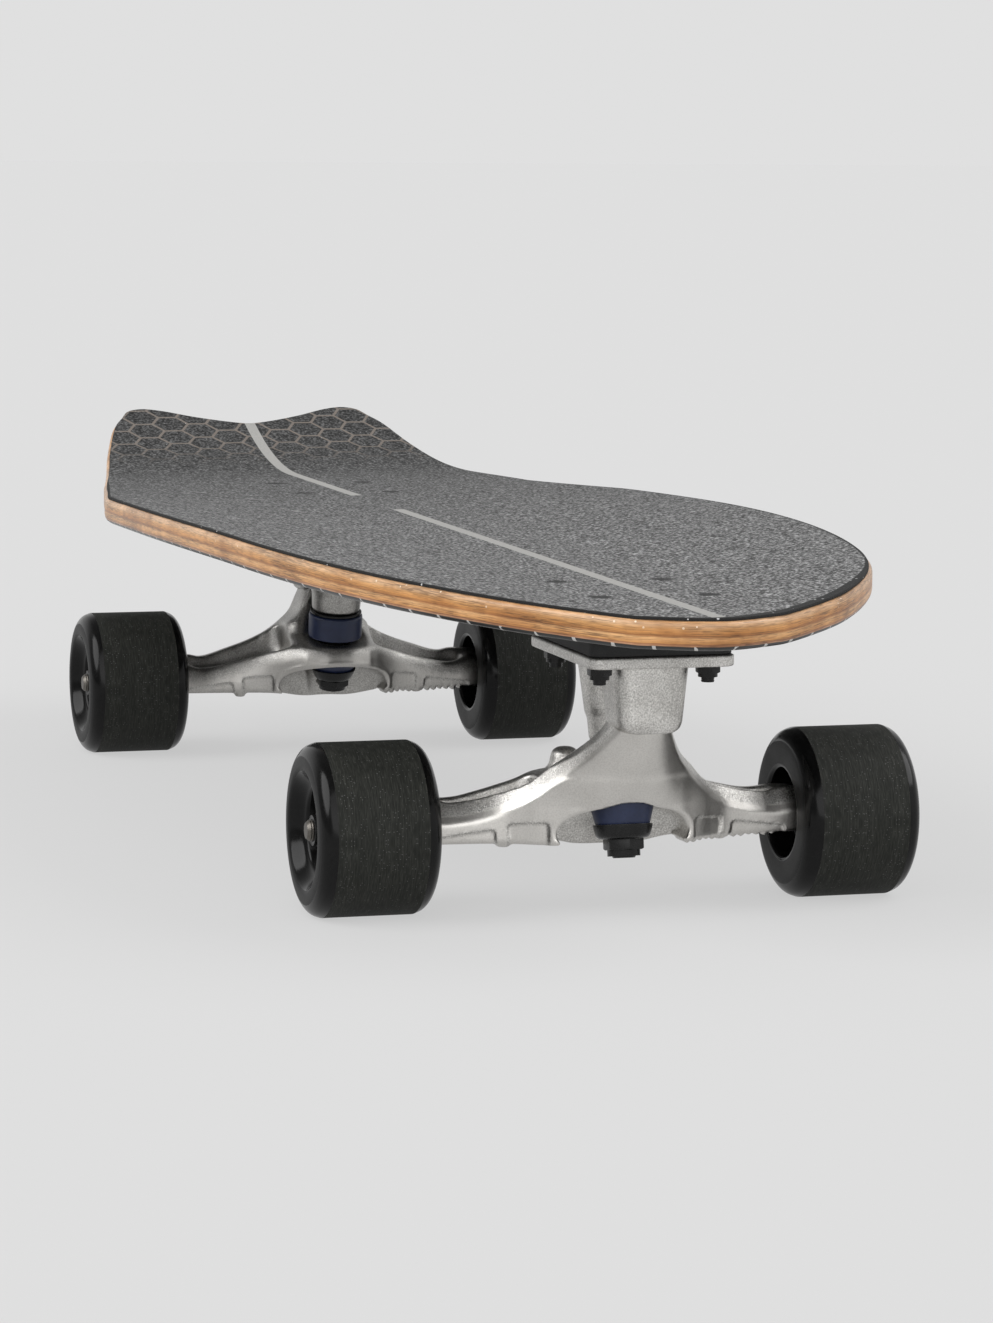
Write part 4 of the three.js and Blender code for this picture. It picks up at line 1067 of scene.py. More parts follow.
def solid(tree, kind, height, **inputs):
    """A primitive's mesh in a Geometry Nodes tree, lifted to a height."""
    named = {label.replace("_", " "): value for label, value in inputs.items()}
    made = add_node(tree, "GeometryNodeMesh" + kind, named).outputs["Mesh"]
    lift = add_node(tree, "ShaderNodeCombineXYZ", {"Z": height}).outputs[0]
    return add_node(tree, "GeometryNodeTransform", {"Geometry": made, "Translation": lift}).outputs[0]


def combine(tree, operation, first, *others):
    """Solids joined, cut or intersected in a Geometry Nodes tree."""
    node = add_node(tree, "GeometryNodeMeshBoolean", operation=operation, solver="MANIFOLD")
    tree.links.new(first, node.inputs[0 if operation == "DIFFERENCE" else 1])
    for other in others:
        tree.links.new(other, node.inputs[1])
    return node.outputs[0]


def copy_to_points(tree, given, result, shape):
    """The tree's end where the shape stands at each point that it is given."""
    inputs = {"Points": given["Geometry"], "Instance": shape}
    copies = add_node(tree, "GeometryNodeInstanceOnPoints", inputs).outputs[0]
    return end_tree(tree, given, result, copies)


def make_lock_nut():
    """A hexagon with a chamfered end and a round collar, hanging down from its seat at zero."""
    inputs = {
        "Geometry": ("Geometry", None),
        "Material": ("Material", None),
        "Flats": ("Float", lock_nut_flats),
        "Height": ("Float", lock_nut_height),
        "Collar Radius": ("Float", 3.6 * mm),
        "Collar Height": ("Float", lock_nut_collar),
        "Bore": ("Float", 2.6 * mm),
    }
    tree, given, result = new_tree("lock nut", "GeometryNodeTree", inputs, {"Geometry": "Geometry"})
    body = calc(tree, "SUBTRACT", given["Height"], given["Collar Height"])
    middle = calc(tree, "MULTIPLY", body, -0.5)
    corner = calc(tree, "DIVIDE", given["Flats"], math.sqrt(3))
    hexagon = solid(tree, "Cylinder", middle, Vertices=6, Radius=corner, Depth=body)
    narrow = calc(tree, "MULTIPLY", given["Flats"], 0.51)
    wide = calc(tree, "MULTIPLY_ADD", body, 1.9, narrow)
    end = calc(tree, "MULTIPLY", body, -1.0)
    cone = solid(tree, "Cone", end, Vertices=48, Radius_Top=wide, Radius_Bottom=narrow, Depth=body)
    chamfered = combine(tree, "INTERSECT", hexagon, cone)
    sunk = calc(tree, "MULTIPLY", given["Collar Height"], 1.5)
    level = calc(tree, "SUBTRACT", calc(tree, "MULTIPLY", sunk, 0.5), given["Height"])
    collar = solid(tree, "Cylinder", level, Vertices=48, Radius=given["Collar Radius"], Depth=sunk)
    whole = combine(tree, "UNION", chamfered, collar)
    through = calc(tree, "MULTIPLY", given["Height"], 4.0)
    bore = solid(tree, "Cylinder", 0.0, Vertices=48, Radius=given["Bore"], Depth=through)
    return copy_to_points(tree, given, result, combine(tree, "DIFFERENCE", whole, bore))


def make_countersunk_bolt():
    """A bolt hanging down from the top of its head at zero, with a cross cut into the head and
    a thread on its lower part."""
    inputs = {
        "Geometry": ("Geometry", None),
        "Material": ("Material", None),
        "Head Radius": ("Float", bolt_head_radius),
        "Head Height": ("Float", bolt_head_height),
        "Shank Radius": ("Float", bolt_radius),
        "Length": ("Float", 30 * mm),
        "Slot Width": ("Float", 1.1 * mm),
        "Slot Reach": ("Float", 5.2 * mm),
        "Slot Depth": ("Float", 1.9 * mm),
        "Thread Pitch": ("Float", thread_pitch),
        "Thread Depth": ("Float", 0.09),
        "Thread Length": ("Float", 9 * mm),
    }
    tree, given, result = new_tree("countersunk bolt", "GeometryNodeTree", inputs, {"Geometry": "Geometry"})
    down = calc(tree, "MULTIPLY", given["Head Height"], -1.0)
    sizes = {"Radius_Top": given["Head Radius"], "Radius_Bottom": given["Shank Radius"]}
    head = solid(tree, "Cone", down, Vertices=48, Depth=given["Head Height"], **sizes)
    deep = calc(tree, "MULTIPLY", given["Slot Depth"], 2.0)
    for long, short in (("Slot Reach", "Slot Width"), ("Slot Width", "Slot Reach")):
        size = {"X": given[long], "Y": given[short], "Z": deep}
        size = add_node(tree, "ShaderNodeCombineXYZ", size).outputs[0]
        head = combine(tree, "DIFFERENCE", head, solid(tree, "Cube", 0.0, Size=size))
    length = calc(tree, "SUBTRACT", given["Length"], given["Slot Depth"])
    middle = calc(tree, "MULTIPLY_ADD", length, -0.5, calc(tree, "MULTIPLY", given["Slot Depth"], -1.0))
    sizes = {"Radius": given["Shank Radius"], "Depth": length}
    shank = solid(tree, "Cylinder", middle, Vertices=24, Side_Segments=70, **sizes)
    place = add_node(tree, "GeometryNodeInputPosition").outputs[0]
    z = add_node(tree, "ShaderNodeSeparateXYZ", {0: place}).outputs[2]
    half_pitch = calc(tree, "DIVIDE", given["Thread Pitch"], 2.0)
    wave = calc(tree, "DIVIDE", calc(tree, "PINGPONG", z, half_pitch), half_pitch)
    start = calc(tree, "SUBTRACT", given["Thread Length"], given["Length"])
    wave = calc(tree, "MULTIPLY", wave, calc(tree, "LESS_THAN", z, start))
    narrowed = calc(tree, "SUBTRACT", 1.0, calc(tree, "MULTIPLY", wave, given["Thread Depth"]))
    scale = add_node(tree, "ShaderNodeCombineXYZ", {"X": narrowed, "Y": narrowed, "Z": 1.0}).outputs[0]
    moved = add_node(tree, "ShaderNodeVectorMath", {0: place, 1: scale}, operation="MULTIPLY").outputs[0]
    threaded = add_node(tree, "GeometryNodeSetPosition", {"Geometry": shank, "Position": moved}).outputs[0]
    return copy_to_points(tree, given, result, combine(tree, "UNION", head, threaded))


def edged(piece, width):
    """Breaks a piece's sharp edges and shades it."""
    bevel = piece.modifiers.new("broken edges", "BEVEL")
    bevel.width = width
    bevel.segments = 2
    bevel.limit_method = "ANGLE"
    bevel.angle_limit = math.radians(35)
    bevel.use_clamp_overlap = True
    return smooth_shaded(baked(piece), degrees=40)


black_steel = cloudy_material(
    "black oxide steel",
    [(0.35, grey(0.006)), (0.6, grey(0.013)), (0.7, grey(0.022))],
    (0.5 * mm, 4 * mm, 0.4),
    rough=(0.22, 0.36),
    bump=(0.03 * mm, 0.5),
    Metallic=0.2,
    Specular_IOR_Level=0.35,
)
lock_nut = make_lock_nut()
countersunk_bolt = make_countersunk_bolt()
bolt_names = ["fore_left", "fore_right", "aft_left", "aft_right"]
for truck in trucks:
    name = truck["name"]
    places = [(x, y, bolt_head_top) for x, y in bolt_places(truck)]
    bolts = new_object(f"{name}_deck_bolts", places, [])
    length = bolt_head_top - lock_nut_top + lock_nut_height + bolt_tail
    grow(bolts, countersunk_bolt, material=black_steel, length=length)
    smooth_shaded(bolts, degrees=40)
    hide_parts(*[f"{name}_bolt_{end}" for end in bolt_names])
    places = [(x, y, lock_nut_top) for x, y in bolt_places(truck)]
    nuts = grow(new_object(f"{name}_deck_nuts", places, []), lock_nut, material=black_steel)
    edged(nuts, small_edge)
    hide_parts(*[f"{name}_lock_nut_{end}" for end in bolt_names])
    for piece in (bolts, nuts):
        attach(piece, "board")


# Kingpins
# A black steel bolt hangs by its head from each plate, leaning ten degrees. Two bushings, two
# washers and a lock nut are stacked on it, and the hanger's ring sits between the bushings.
kingpin_head_radius = 7.8 * mm
kingpin_head_height = 4 * mm
upper_washer_low = 16.5 * mm
upper_washer_high = 17.5 * mm
barrel_low = ring_face + clearance
barrel_high = 16.2 * mm
cone_high = -barrel_low
cup_base = 1.4 * mm
kingpin_tip = 0.7 * mm
# The lower bushing's height, the radius of its lower end and the nut's height
stacks = {"front": (12.8 * mm, 9.2 * mm, 6.4 * mm), "rear": (9.4 * mm, 7.3 * mm, 4.6 * mm)}
for truck in trucks:
    cone_height, truck["cone_end"], truck["nut_height"] = stacks[truck["name"]]
    truck["cone_low"] = cone_high - cone_height
    truck["cup_low"] = truck["cone_low"] - clearance - cup_base
    truck["nut_high"] = truck["cup_low"] - clearance / 6


def thread(radius, low, high, depth=0.25 * mm):
    """A ridged stretch of a turned profile."""
    ridges = max(1, round(abs(high - low) / thread_pitch))
    points = []
    for k in range(ridges):
        start = low + (high - low) * k / ridges
        points += [(radius - depth, start), (radius, start + (high - low) / ridges / 2)]
    return points + [(radius - depth, high)]


for truck in trucks:
    low = truck["nut_high"] - truck["nut_height"] - kingpin_tip
    threaded_to = truck["cone_low"]
    head_low = truck["plate_reach"] - kingpin_head_height / 2
    head_high = head_low + kingpin_head_height
    profile = [(0, low), (kingpin_radius - kingpin_tip, low)]
    profile += thread(kingpin_radius, low + kingpin_tip, threaded_to)
    profile += [(kingpin_radius, threaded_to), (kingpin_radius, head_low)]
    profile += [(kingpin_head_radius, head_low), (kingpin_head_radius, head_high), (0, head_high)]
    pin = turned(f"{truck['name']}_king_bolt", profile, truck["kingpin"], 48)
    smooth_shaded(pin, black_steel)
    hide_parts(f"{truck['name']}_kingpin")
    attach(pin, "board")


# Pivot cups
# A tough black plastic cup is pressed into each pivot housing. The hanger's pin turns in it.
cup_bore = pin_radius + press_fit
cup_floor = 1.3 * mm
cup_tones = [(0.35, grey(0.012)), (0.65, grey(0.022))]
cup_plastic = cloudy_material("cup plastic", cup_tones, (0.6 * mm, 5 * mm), Roughness=0.5)
for truck in trucks:
    start = truck["socket"]
    end = start + cup_depth
    profile = [(0, end), (cup_outer_radius, end), (cup_outer_radius, start), (cup_bore, start)]
    profile += [(cup_bore, end - cup_floor), (0, end - cup_floor)]
    cup = turned(f"{truck['name']}_pivot_bush", profile, truck["pivot"])
    smooth_shaded(cup, cup_plastic)
    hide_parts(f"{truck['name']}_pivot_cup")
    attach(cup, "board")


# Bushings
# Navy blue cast urethane: a barrel above the ring and a cone below it, between the washers on
# the board's side and the ring on the truck's.
bushing_radius = 12.5 * mm
bushing_bore = 5.1 * mm
bushing_round = 1.3 * mm
bushing_row = 0.9 * mm
bore_round = 0.3 * mm


def softened(corners, row=1.0, steps=5):
    """A profile of radius and height whose corners are rounded, each by its own distance along the
    two sides or nearly half of them, and whose long sides are cut into rows."""
    points = []
    for k, (radius, height, rounding) in enumerate(corners):
        here = np.array((radius, height))
        if rounding == 0 or k in (0, len(corners) - 1):
            points.append(here)
            continue
        sides = []
        for other in (corners[k - 1], corners[k + 1]):
            away = np.array(other[:2]) - here
            length = np.linalg.norm(away)
            sides.append(here + away / length * min(rounding, length * 0.48))
        for t in np.linspace(0, 1, steps):
            points.append((1 - t) ** 2 * sides[0] + 2 * t * (1 - t) * here + t**2 * sides[1])
    rows = [points[0]]
    for start, end in zip(points, points[1:]):
        count = max(1, round(np.linalg.norm(end - start) / row))
        rows += [start + (end - start) * k / count for k in range(1, count + 1)]
    return [tuple(point) for point in rows]


bushing_urethane = cloudy_material(
    "navy urethane",
    [(0.35, (0.010, 0.017, 0.050, 1)), (0.65, (0.016, 0.026, 0.072, 1))],
    (0.8 * mm, 7 * mm, 0.6),
    bump=(0.03 * mm, 0.4),
    Roughness=0.42,
)
for truck in trucks:
    name = truck["name"]
    barrel = [
        (bushing_bore, barrel_low, 0),
        (bushing_radius, barrel_low, bushing_round),
        (bushing_radius, barrel_high, bushing_round),
        (bushing_bore, barrel_high, bore_round),
        (bushing_bore, barrel_low, 0),
    ]
    cone = [
        (bushing_bore, truck["cone_low"], 0),
        (truck["cone_end"], truck["cone_low"], bushing_round / 2),
        (bushing_radius, cone_high, bushing_round),
        (bushing_bore, cone_high, bore_round),
        (bushing_bore, truck["cone_low"], 0),
    ]
    for where, corners, fixed, moving in (
        ("upper", barrel, barrel_high, barrel_low),
        ("lower", cone, truck["cone_low"], cone_high),
    ):
        profile = softened(corners, bushing_row)
        bushing = turned(f"{name}_{where}_urethane", profile, truck["kingpin"], 64)
        smooth_shaded(bushing, bushing_urethane)
        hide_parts(f"{name}_{where}_bushing")
        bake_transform(bushing)


# Washers and kingpin nuts
# The upper washer is flat. The lower one is a pressed black cup that holds the end of the cone,
# and the lock nut draws it up.
upper_washer_radius = 12 * mm
lower_cup_wall = 0.9 * mm
lower_cup_depth = 4 * mm
kingpin_nut_flats = 13.4 * mm
kingpin_collar_shares = (0.36, 0.46)
washer_bore = kingpin_radius + press_fit
for truck in trucks:
    name = truck["name"]
    flat = [
        (washer_bore, upper_washer_low, 0),
        (upper_washer_radius, upper_washer_low, 0.3 * mm),
        (upper_washer_radius, upper_washer_high, 0.3 * mm),
        (washer_bore, upper_washer_high, 0.2 * mm),
        (washer_bore, upper_washer_low, 0),
    ]
    low, end = truck["cup_low"], truck["cone_end"]
    growth = (bushing_radius - end) / (cone_high - truck["cone_low"])
    inner = end + clearance / 2
    rim = inner + lower_cup_depth * growth
    top = low + cup_base + lower_cup_depth
    dished = [
        (washer_bore, low, 0),
        (inner + lower_cup_wall * 0.7, low, 2.2 * mm),
        (rim + lower_cup_wall, top, 0.4 * mm),
        (rim, top, 0.3 * mm),
        (inner, low + cup_base, 0.8 * mm),
        (washer_bore, low + cup_base, 0.2 * mm),
        (washer_bore, low, 0),
    ]
    for where, corners in (("upper", flat), ("lower", dished)):
        washer = turned(f"{name}_{where}_cup_washer", softened(corners), truck["kingpin"])
        smooth_shaded(washer, black_steel, degrees=50)
        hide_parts(f"{name}_{where}_washer")
        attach(washer, "board")
    nut = new_object(f"{name}_king_nut", [(0, 0, 0)], [])
    sizes = {"flats": kingpin_nut_flats, "height": truck["nut_height"], "bore": washer_bore}
    sizes["collar_height"] = truck["nut_height"] * kingpin_collar_shares[0]
    sizes["collar_radius"] = kingpin_nut_flats * kingpin_collar_shares[1]
    grow(nut, lock_nut, material=black_steel, **sizes)
    nut.data.transform(truck["kingpin"] @ Matrix.Translation((0, 0, truck["nut_high"])))
    edged(nut, small_edge * 2)
    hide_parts(f"{name}_kingpin_nut")
    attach(nut, "board")


# Hangers
# One aluminium casting for each truck: a ring round the kingpin, a fan-shaped wall that narrows to
# the pivot's pin, a lower wall on the kingpin's side, and a trench over the axle between them.
hanger_half = 80.7 * mm
end_ring = 7 * mm
end_ring_step = 0.5 * mm
kingpin_hole = 8 * mm
bushing_seat = 13.4 * mm
boss_room = 17.2 * mm
neck_trim = 21 * mm
axle_radius = 4 * mm
axle_room = 4.2 * mm
hanger_cell = 0.62 * mm
hanger_smoothing = 2
# The grid's reach round the axle's middle, in millimetres along, across and up
hanger_reach = [(-16, 60), (-83, 83), (-12, 63)]
# By the place across the board, in millimetres: the casting's reach ahead of the axle and behind
# it, the heights of its two walls over the axle, and its cut front edge. By the height: how far
# the front leans out, and the inner face of the fan-shaped wall.
hanger_tables = {
    "front": {
        "ahead": [
            (0, 32.7), (6, 32.3), (12, 30.8), (20, 27), (26, 23.1), (32, 19.2), (37, 15.8),
            (43, 12.6), (50, 10.9), (58, 10), (81, 9.4),
        ],
        "behind": [(0, 12.2), (40, 12.2), (50, 11.8), (60, 11.2), (81, 9.6)],
        "pivot_wall": [
            (0, 48), (8, 45), (12, 40), (15.4, 35), (20, 29.4), (24, 26), (28, 23), (32, 19.8),
            (37, 16.5), (44, 13), (52, 10.5), (60, 9.3), (66, 9), (72, 9.8), (81, 8.4),
        ],
        "kingpin_wall": [
            (0, 18.7), (20, 18.7), (26, 17.6), (32, 15.2), (40, 12.9), (48, 10.9), (56, 9.3),
            (62, 9.1), (68, 9.8), (73, 9.8), (81, 8.4),
        ],
        "edge_drop": [(0, 2.4), (8, 3), (14, 3.8), (21, 4.3), (31, 5.4), (45, 5.8), (81, 5.8)],
        "edge_run": [(0, 2), (8, 2.6), (14, 3.2), (21, 3.8), (31, 4.6), (45, 4.8), (81, 4.4)],
        "lean": [
            (9.6, 0), (13.3, 2.9), (18.3, 7), (22.2, 10.2), (28, 14.6), (33, 17.8), (38, 20),
            (48, 22.5),
        ],
        "inside": [(14, 6), (18, 7), (22, 12), (28, 20), (33, 26.5), (38, 32), (48, 39)],
    },
    "rear": {
        "ahead": [
            (0, 34.6), (6, 34), (12, 31.2), (18, 26.5), (24, 21), (30, 17), (37, 14), (43, 12.4),
            (50, 11), (58, 10), (81, 9.4),
        ],
        "behind": [(0, 11), (12, 11.4), (40, 11.6), (60, 11), (81, 9.6)],
        "pivot_wall": [
            (0, 48), (8, 44), (11, 39), (14.2, 31.8), (18.8, 26.8), (25, 22), (32.5, 18),
            (45, 13.5), (58, 9.8), (63, 10.8), (68, 10.6), (81, 8.4),
        ],
        "kingpin_wall": [
            (0, 18.7), (20, 18.4), (24, 17.4), (29, 15.6), (37, 12.6), (48, 9.4), (60, 7.2),
            (66, 8.4), (72, 9), (81, 8.4),
        ],
        "edge_drop": [(0, 3), (24, 4), (45, 5), (81, 5)],
        "edge_run": [(0, 3), (24, 3.4), (45, 3.4), (81, 3.4)],
        "lean": [(0, 0), (48, 0)],
        "inside": [(14, 27), (18, 25), (22, 16.5), (28, 11.4), (33, 9.6), (38, 8.3), (48, 6)],
    },
}
lean_share = [(0, 1), (10, 0.78), (20, 0.42), (30, 0.12), (36, 0)]
under_arms = [(0, 5.9), (24, 5.9), (45, 6.2), (81, 6)]
under_middle = [(0, 2.8), (12, 2.6), (26, 0.4), (34, 0)]
under_slope = (4 * mm, 22 * mm)
trench_floor = [(0, 8), (36, 7.2), (48, 5.4), (62, 4.8)]
pivot_wall_width = 4.8 * mm
kingpin_wall_width = 3.4 * mm
wall_fillet = 5 * mm
fan_span = (14 * mm, 30 * mm)
# How far the casting's edges are rounded: along its sides, below, at its ends, on its two walls,
# inside the fan and round what is cut out of it
side_edge = 3 * mm
under_edge = 2.4 * mm
end_edge = 1.5 * mm
wall_edge = 1.6 * mm
fan_edge = 2 * mm
cut_edge = 1 * mm
# The trench over the axle, and the stub that carries the pivot's pin
trench_starts = {"front": 27 * mm, "rear": 20 * mm}
trench_end = 66 * mm
trench_height = 40 * mm
trench_power = 5
trench_edges = (6 * mm, 5 * mm, 1.2 * mm)
stub_share = 0.6
stub_fillet = 4 * mm
pin_round = 2 * mm
edge_roundings = {"front": 0.7 * mm, "rear": 4.5 * mm}
# The pocket under the front, round the lower bushing, and its raised lip
pocket_half = 25.6 * mm
pocket_middle = -1.2 * mm
pocket_rises = {"front": 10.8 * mm, "rear": 9.4 * mm}
pocket_drop = 9 * mm
pocket_power = 2.15
pocket_wall = 6.2 * mm
pocket_wall_lean = 0.35
pocket_wall_foot = -8 * mm
pocket_fillets = (1.2 * mm, 9 * mm)
pocket_fillet_span = (-5 * mm, 0)
pocket_edge = 2 * mm
lip_start = 14 * mm
lip_edge = 0.9 * mm
lip_fillet = 0.8 * mm
lip_width = 2.3 * mm
lip_rises = {"front": 0.9 * mm, "rear": 0.2 * mm}
# A nub under each arm, the front casting's two lugs, the front's sunk panels and the ridges below
nub_place = 42.7 * mm
nub_radius = 2.4 * mm
nub_drop = 1.1 * mm
nub_inset = 0.4 * mm
nub_edge = 1.4 * mm
nub_fillet = 1.2 * mm
lug_place = 15 * mm
lug_back = 2 * mm
lug_radius = 5.6 * mm
lug_rise = 28 * mm
lug_edge = 5 * mm
lug_fillet = 6 * mm
panel_depths = {"front": 0.8 * mm, "rear": 0.45 * mm}
panels = [
    [(28.2, -9), (28.2, 3.4), (42.4, 2), (41.2, -9)],
    [(45.2, -9), (46.2, 0), (69, -3), (69, -9)],
]
panel_corner = 2.2 * mm
panel_edge = 0.4 * mm
tick_start = 26 * mm
tick_end = 66 * mm
tick_pitch = 3.2 * mm
tick_radius = 1.05 * mm
tick_variation = 0.2
tick_rhythm = 1.9
tick_inset = 0.3 * mm
tick_reach_share = 0.4
tick_front_gap = 1 * mm
tick_edge = 0.8 * mm
tick_fillet = 0.5 * mm
# The ring on each end, the kingpin's hole, the room round the boss, and the depth of the grinding
end_fillet = 0.6 * mm
hole_edge = 0.6 * mm
room_edge = 2.5 * mm
ground_span = (-0.5 * mm, -0.1 * mm)


def smooth_table(rows):
    """A table of rows, read smoothly at any values of its first column."""
    rows = np.array(rows, float)
    keys, values = rows[:, 0], rows[:, 1]
    slopes = np.diff(values) / np.diff(keys)
    tangents = np.concatenate([slopes[:1], (slopes[1:] + slopes[:-1]) / 2, slopes[-1:]])

    def read(at):
        at = np.clip(at / mm, keys[0], keys[-1])
        i = np.clip(np.searchsorted(keys, at) - 1, 0, len(keys) - 2)
        gap = keys[i + 1] - keys[i]
        t = (at - keys[i]) / gap
        ahead = t * t * (3 - 2 * t)
        bend = gap * ((t**3 - 2 * t**2 + t) * tangents[i] + (t**3 - t**2) * tangents[i + 1])
        return (values[i] + ahead * (values[i + 1] - values[i]) + bend) * mm

    return read


def either(first, second, blend):
    """Two solids' fields joined, with a fillet of about the blend's size."""
    near = np.maximum(blend - np.abs(first - second), 0) / blend
    return np.minimum(first, second) - near * near * blend / 4


def both(first, second, blend):
    """What two solids' fields have in common, with rounded edges."""
    return -either(-first, -second, blend)


def without(first, second, blend):
    """The first solid's field with the second cut out of it."""
    return both(first, -second, blend)


def eased(value, low, high):
    """0 up to the low value, 1 from the high value, and smooth between them."""
    share = np.clip((value - low) / (high - low), 0, 1)
    return share * share * (3 - 2 * share)


def rounded_box(a, b, half_a, half_b, power):
    """A field that is negative inside a rounded box round zero, near enough a distance."""
    hair = 1e-4
    share_a, share_b = np.abs(a / half_a) + hair, np.abs(b / half_b) + hair
    reach = (share_a**power + share_b**power) ** (1 / power)
    slope_a = (share_a / reach) ** (power - 1) / half_a
    slope_b = (share_b / reach) ** (power - 1) / half_b
    return (reach - 1) / np.hypot(slope_a, slope_b)


def panel_field(across, up, corners):
    """A field that is negative inside a panel, from its straight sides."""
    field = None
    for (a, b), (c, d) in zip(corners, corners[1:] + corners[:1]):
        length = math.hypot(c - a, d - b)
        side = ((c - a) * (up / mm - b) - (d - b) * (across / mm - a)) / length * mm
        field = side if field is None else both(field, side, panel_corner)
    return field


def hanger_field(truck, x, y, z):
    """A field that is negative inside the hanger, and how ground smooth its skin is, going negative
    along the panels' outlines where grime and painted shade darken them. The axes are open grids,
    measured from the axle's middle."""
    tables, side = hanger_tables[truck["name"]], truck["side"]
    away = np.abs(y)

    def across_board(rows):
        return smooth_table(rows)(away)

    ahead, behind = across_board(tables["ahead"]), across_board(tables["behind"])
    pivot_top, kingpin_top = across_board(tables["pivot_wall"]), across_board(tables["kingpin_wall"])
    leaned = smooth_table(tables["lean"])(z) * smooth_table(lean_share)(away) / mm
    sweep = np.gradient(ahead[0, :, 0], y[0, 1, 0] - y[0, 0, 0])[None, :, None]
    front_face = (x - ahead - leaned) / np.sqrt(1 + sweep**2)
    ground = np.array(front_face)
    panel_depth = panel_depths[truck["name"]]
    crease_grime_and_shade = 0
    for corners in panels:
        panel = panel_field(away, z, corners)
        front_face = front_face + panel_depth * (1 - eased(panel, -panel_edge, 0))
        # Grime and painted shade along each panel's outline
        crease_grime_and_shade = crease_grime_and_shade + np.exp(-(((panel + panel_edge / 2) / panel_edge) ** 2))
    slope = 1 - eased(x, *under_slope)
    under = across_board(under_arms) + across_board(under_middle) * slope
    body = both(front_face, -x - behind, side_edge)
    body = both(body, -(z + under), under_edge)
    body = both(body, away - hanger_half, end_edge)

    inside = smooth_table(tables["inside"])(z)
    fan = eased(away, *fan_span)
    if side > 0:
        pivot_inside = inside + (ahead - pivot_wall_width - inside) * fan - x
        inner, outer = -behind + kingpin_wall_width, ahead - pivot_wall_width
    else:
        pivot_inside = x - inside - (pivot_wall_width - behind - inside) * fan
        inner, outer = -behind + pivot_wall_width, ahead - kingpin_wall_width
    wall = both(both(body, z - pivot_top, wall_edge), pivot_inside, fan_edge)
    body = either(both(body, z - kingpin_top, wall_edge), wall, wall_fillet)
    front_top = pivot_top if side > 0 else kingpin_top
    drop, run = across_board(tables["edge_drop"]), across_board(tables["edge_run"])
    slanted = (front_face * drop + (z - front_top) * run + run * drop) / np.hypot(drop, run)
    body = both(body, slanted, edge_roundings[truck["name"]])

    middle, half = (inner + outer) / 2, (outer - inner) / 2
    depth = trench_height - across_board(trench_floor)
    trench = rounded_box(x - middle, z - trench_height, half, depth, trench_power)
    trench = both(trench, trench_starts[truck["name"]] - away, trench_edges[0])
    trench = both(trench, away - trench_end, trench_edges[1])
    body = without(body, trench, trench_edges[2])

    ring_x = x + truck["axle"].x - truck["ring"].x
    ring_z = z + truck["axle"].z - truck["ring"].z

    def round_axis(matrix):
        tilt = math.atan2(*matrix.col[2].xz)
        up = ring_x * math.sin(tilt) + ring_z * math.cos(tilt)
        return np.hypot(ring_x * math.cos(tilt) - ring_z * math.sin(tilt), y), up

    radial, up = round_axis(truck["pivot"])
    shoulder = truck["socket"] - 2 * clearance
    stub = both(radial - neck_radius, up - shoulder, neck_chamfer)
    stub = both(stub, shoulder * stub_share - up, cut_edge)
    body = both(body, up - shoulder, neck_chamfer)
    body = either(body, stub, stub_fillet)

    if side > 0:
        lug = np.hypot(x + lug_back, away - lug_place) - lug_radius
        lug = both(both(lug, z - lug_rise, lug_edge), -z, cut_edge)
        body = either(body, lug, lug_fillet)
    half_height = np.where(z > pocket_middle, pocket_rises[truck["name"]], pocket_drop)
    pocket = rounded_box(y, z - pocket_middle, pocket_half, half_height, pocket_power)
    lip = both(ground - lip_rises[truck["name"]], lip_start - x, cut_edge)
    body = either(body, both(pocket - lip_width, lip, lip_edge), lip_fillet)
    back = pocket_wall + pocket_wall_lean * (z - pocket_wall_foot)
    low_fillet, high_fillet = pocket_fillets
    fillet = low_fillet + (high_fillet - low_fillet) * eased(z, *pocket_fillet_span)
    body = without(body, both(pocket, back - x, fillet), pocket_edge)
    body = both(body, -(z + under), under_edge)
    nub = np.hypot(x - ahead + nub_radius + nub_inset, away - nub_place) - nub_radius
    nub = both(nub, np.maximum(-under - nub_drop - z, z), nub_edge)
    body = either(body, nub, nub_fillet)
    along = (y - tick_start) / tick_pitch
    number = np.round(along)
    size = tick_radius * (1 + tick_variation * np.sin(tick_rhythm * number))
    tick = np.hypot((along - number) * tick_pitch, z + under - tick_inset) - size
    tick = np.maximum(tick, np.maximum(tick_start - tick_radius - y, y - tick_end))
    tick = both(tick, np.maximum(ahead * tick_reach_share - x, x - ahead + tick_front_gap), tick_edge)
    body = either(body, tick, tick_fillet)
    end = both(np.hypot(x, z) - end_ring, np.abs(away - hanger_half) - end_ring_step, end_fillet)
    body = either(body, end, end_fillet)

    radial, up = round_axis(truck["kingpin"])
    heights = [0, boss_face / 3, boss_face, truck["plate_reach"]]
    widths = np.interp(up, heights, [bushing_seat, bushing_seat, boss_room, neck_trim])
    body = without(body, both(radial - widths, ring_face - up, cut_edge), room_edge)
    body = without(body, both(radial - bushing_seat, up + ring_face, cut_edge), cut_edge)
    body = without(body, radial - kingpin_hole, hole_edge)
    smooth_ground = eased(ground, *(level - panel_depth for level in ground_span))
    return np.maximum(body, axle_room - np.hypot(x, z)), smooth_ground - 2 * crease_grime_and_shade * smooth_ground


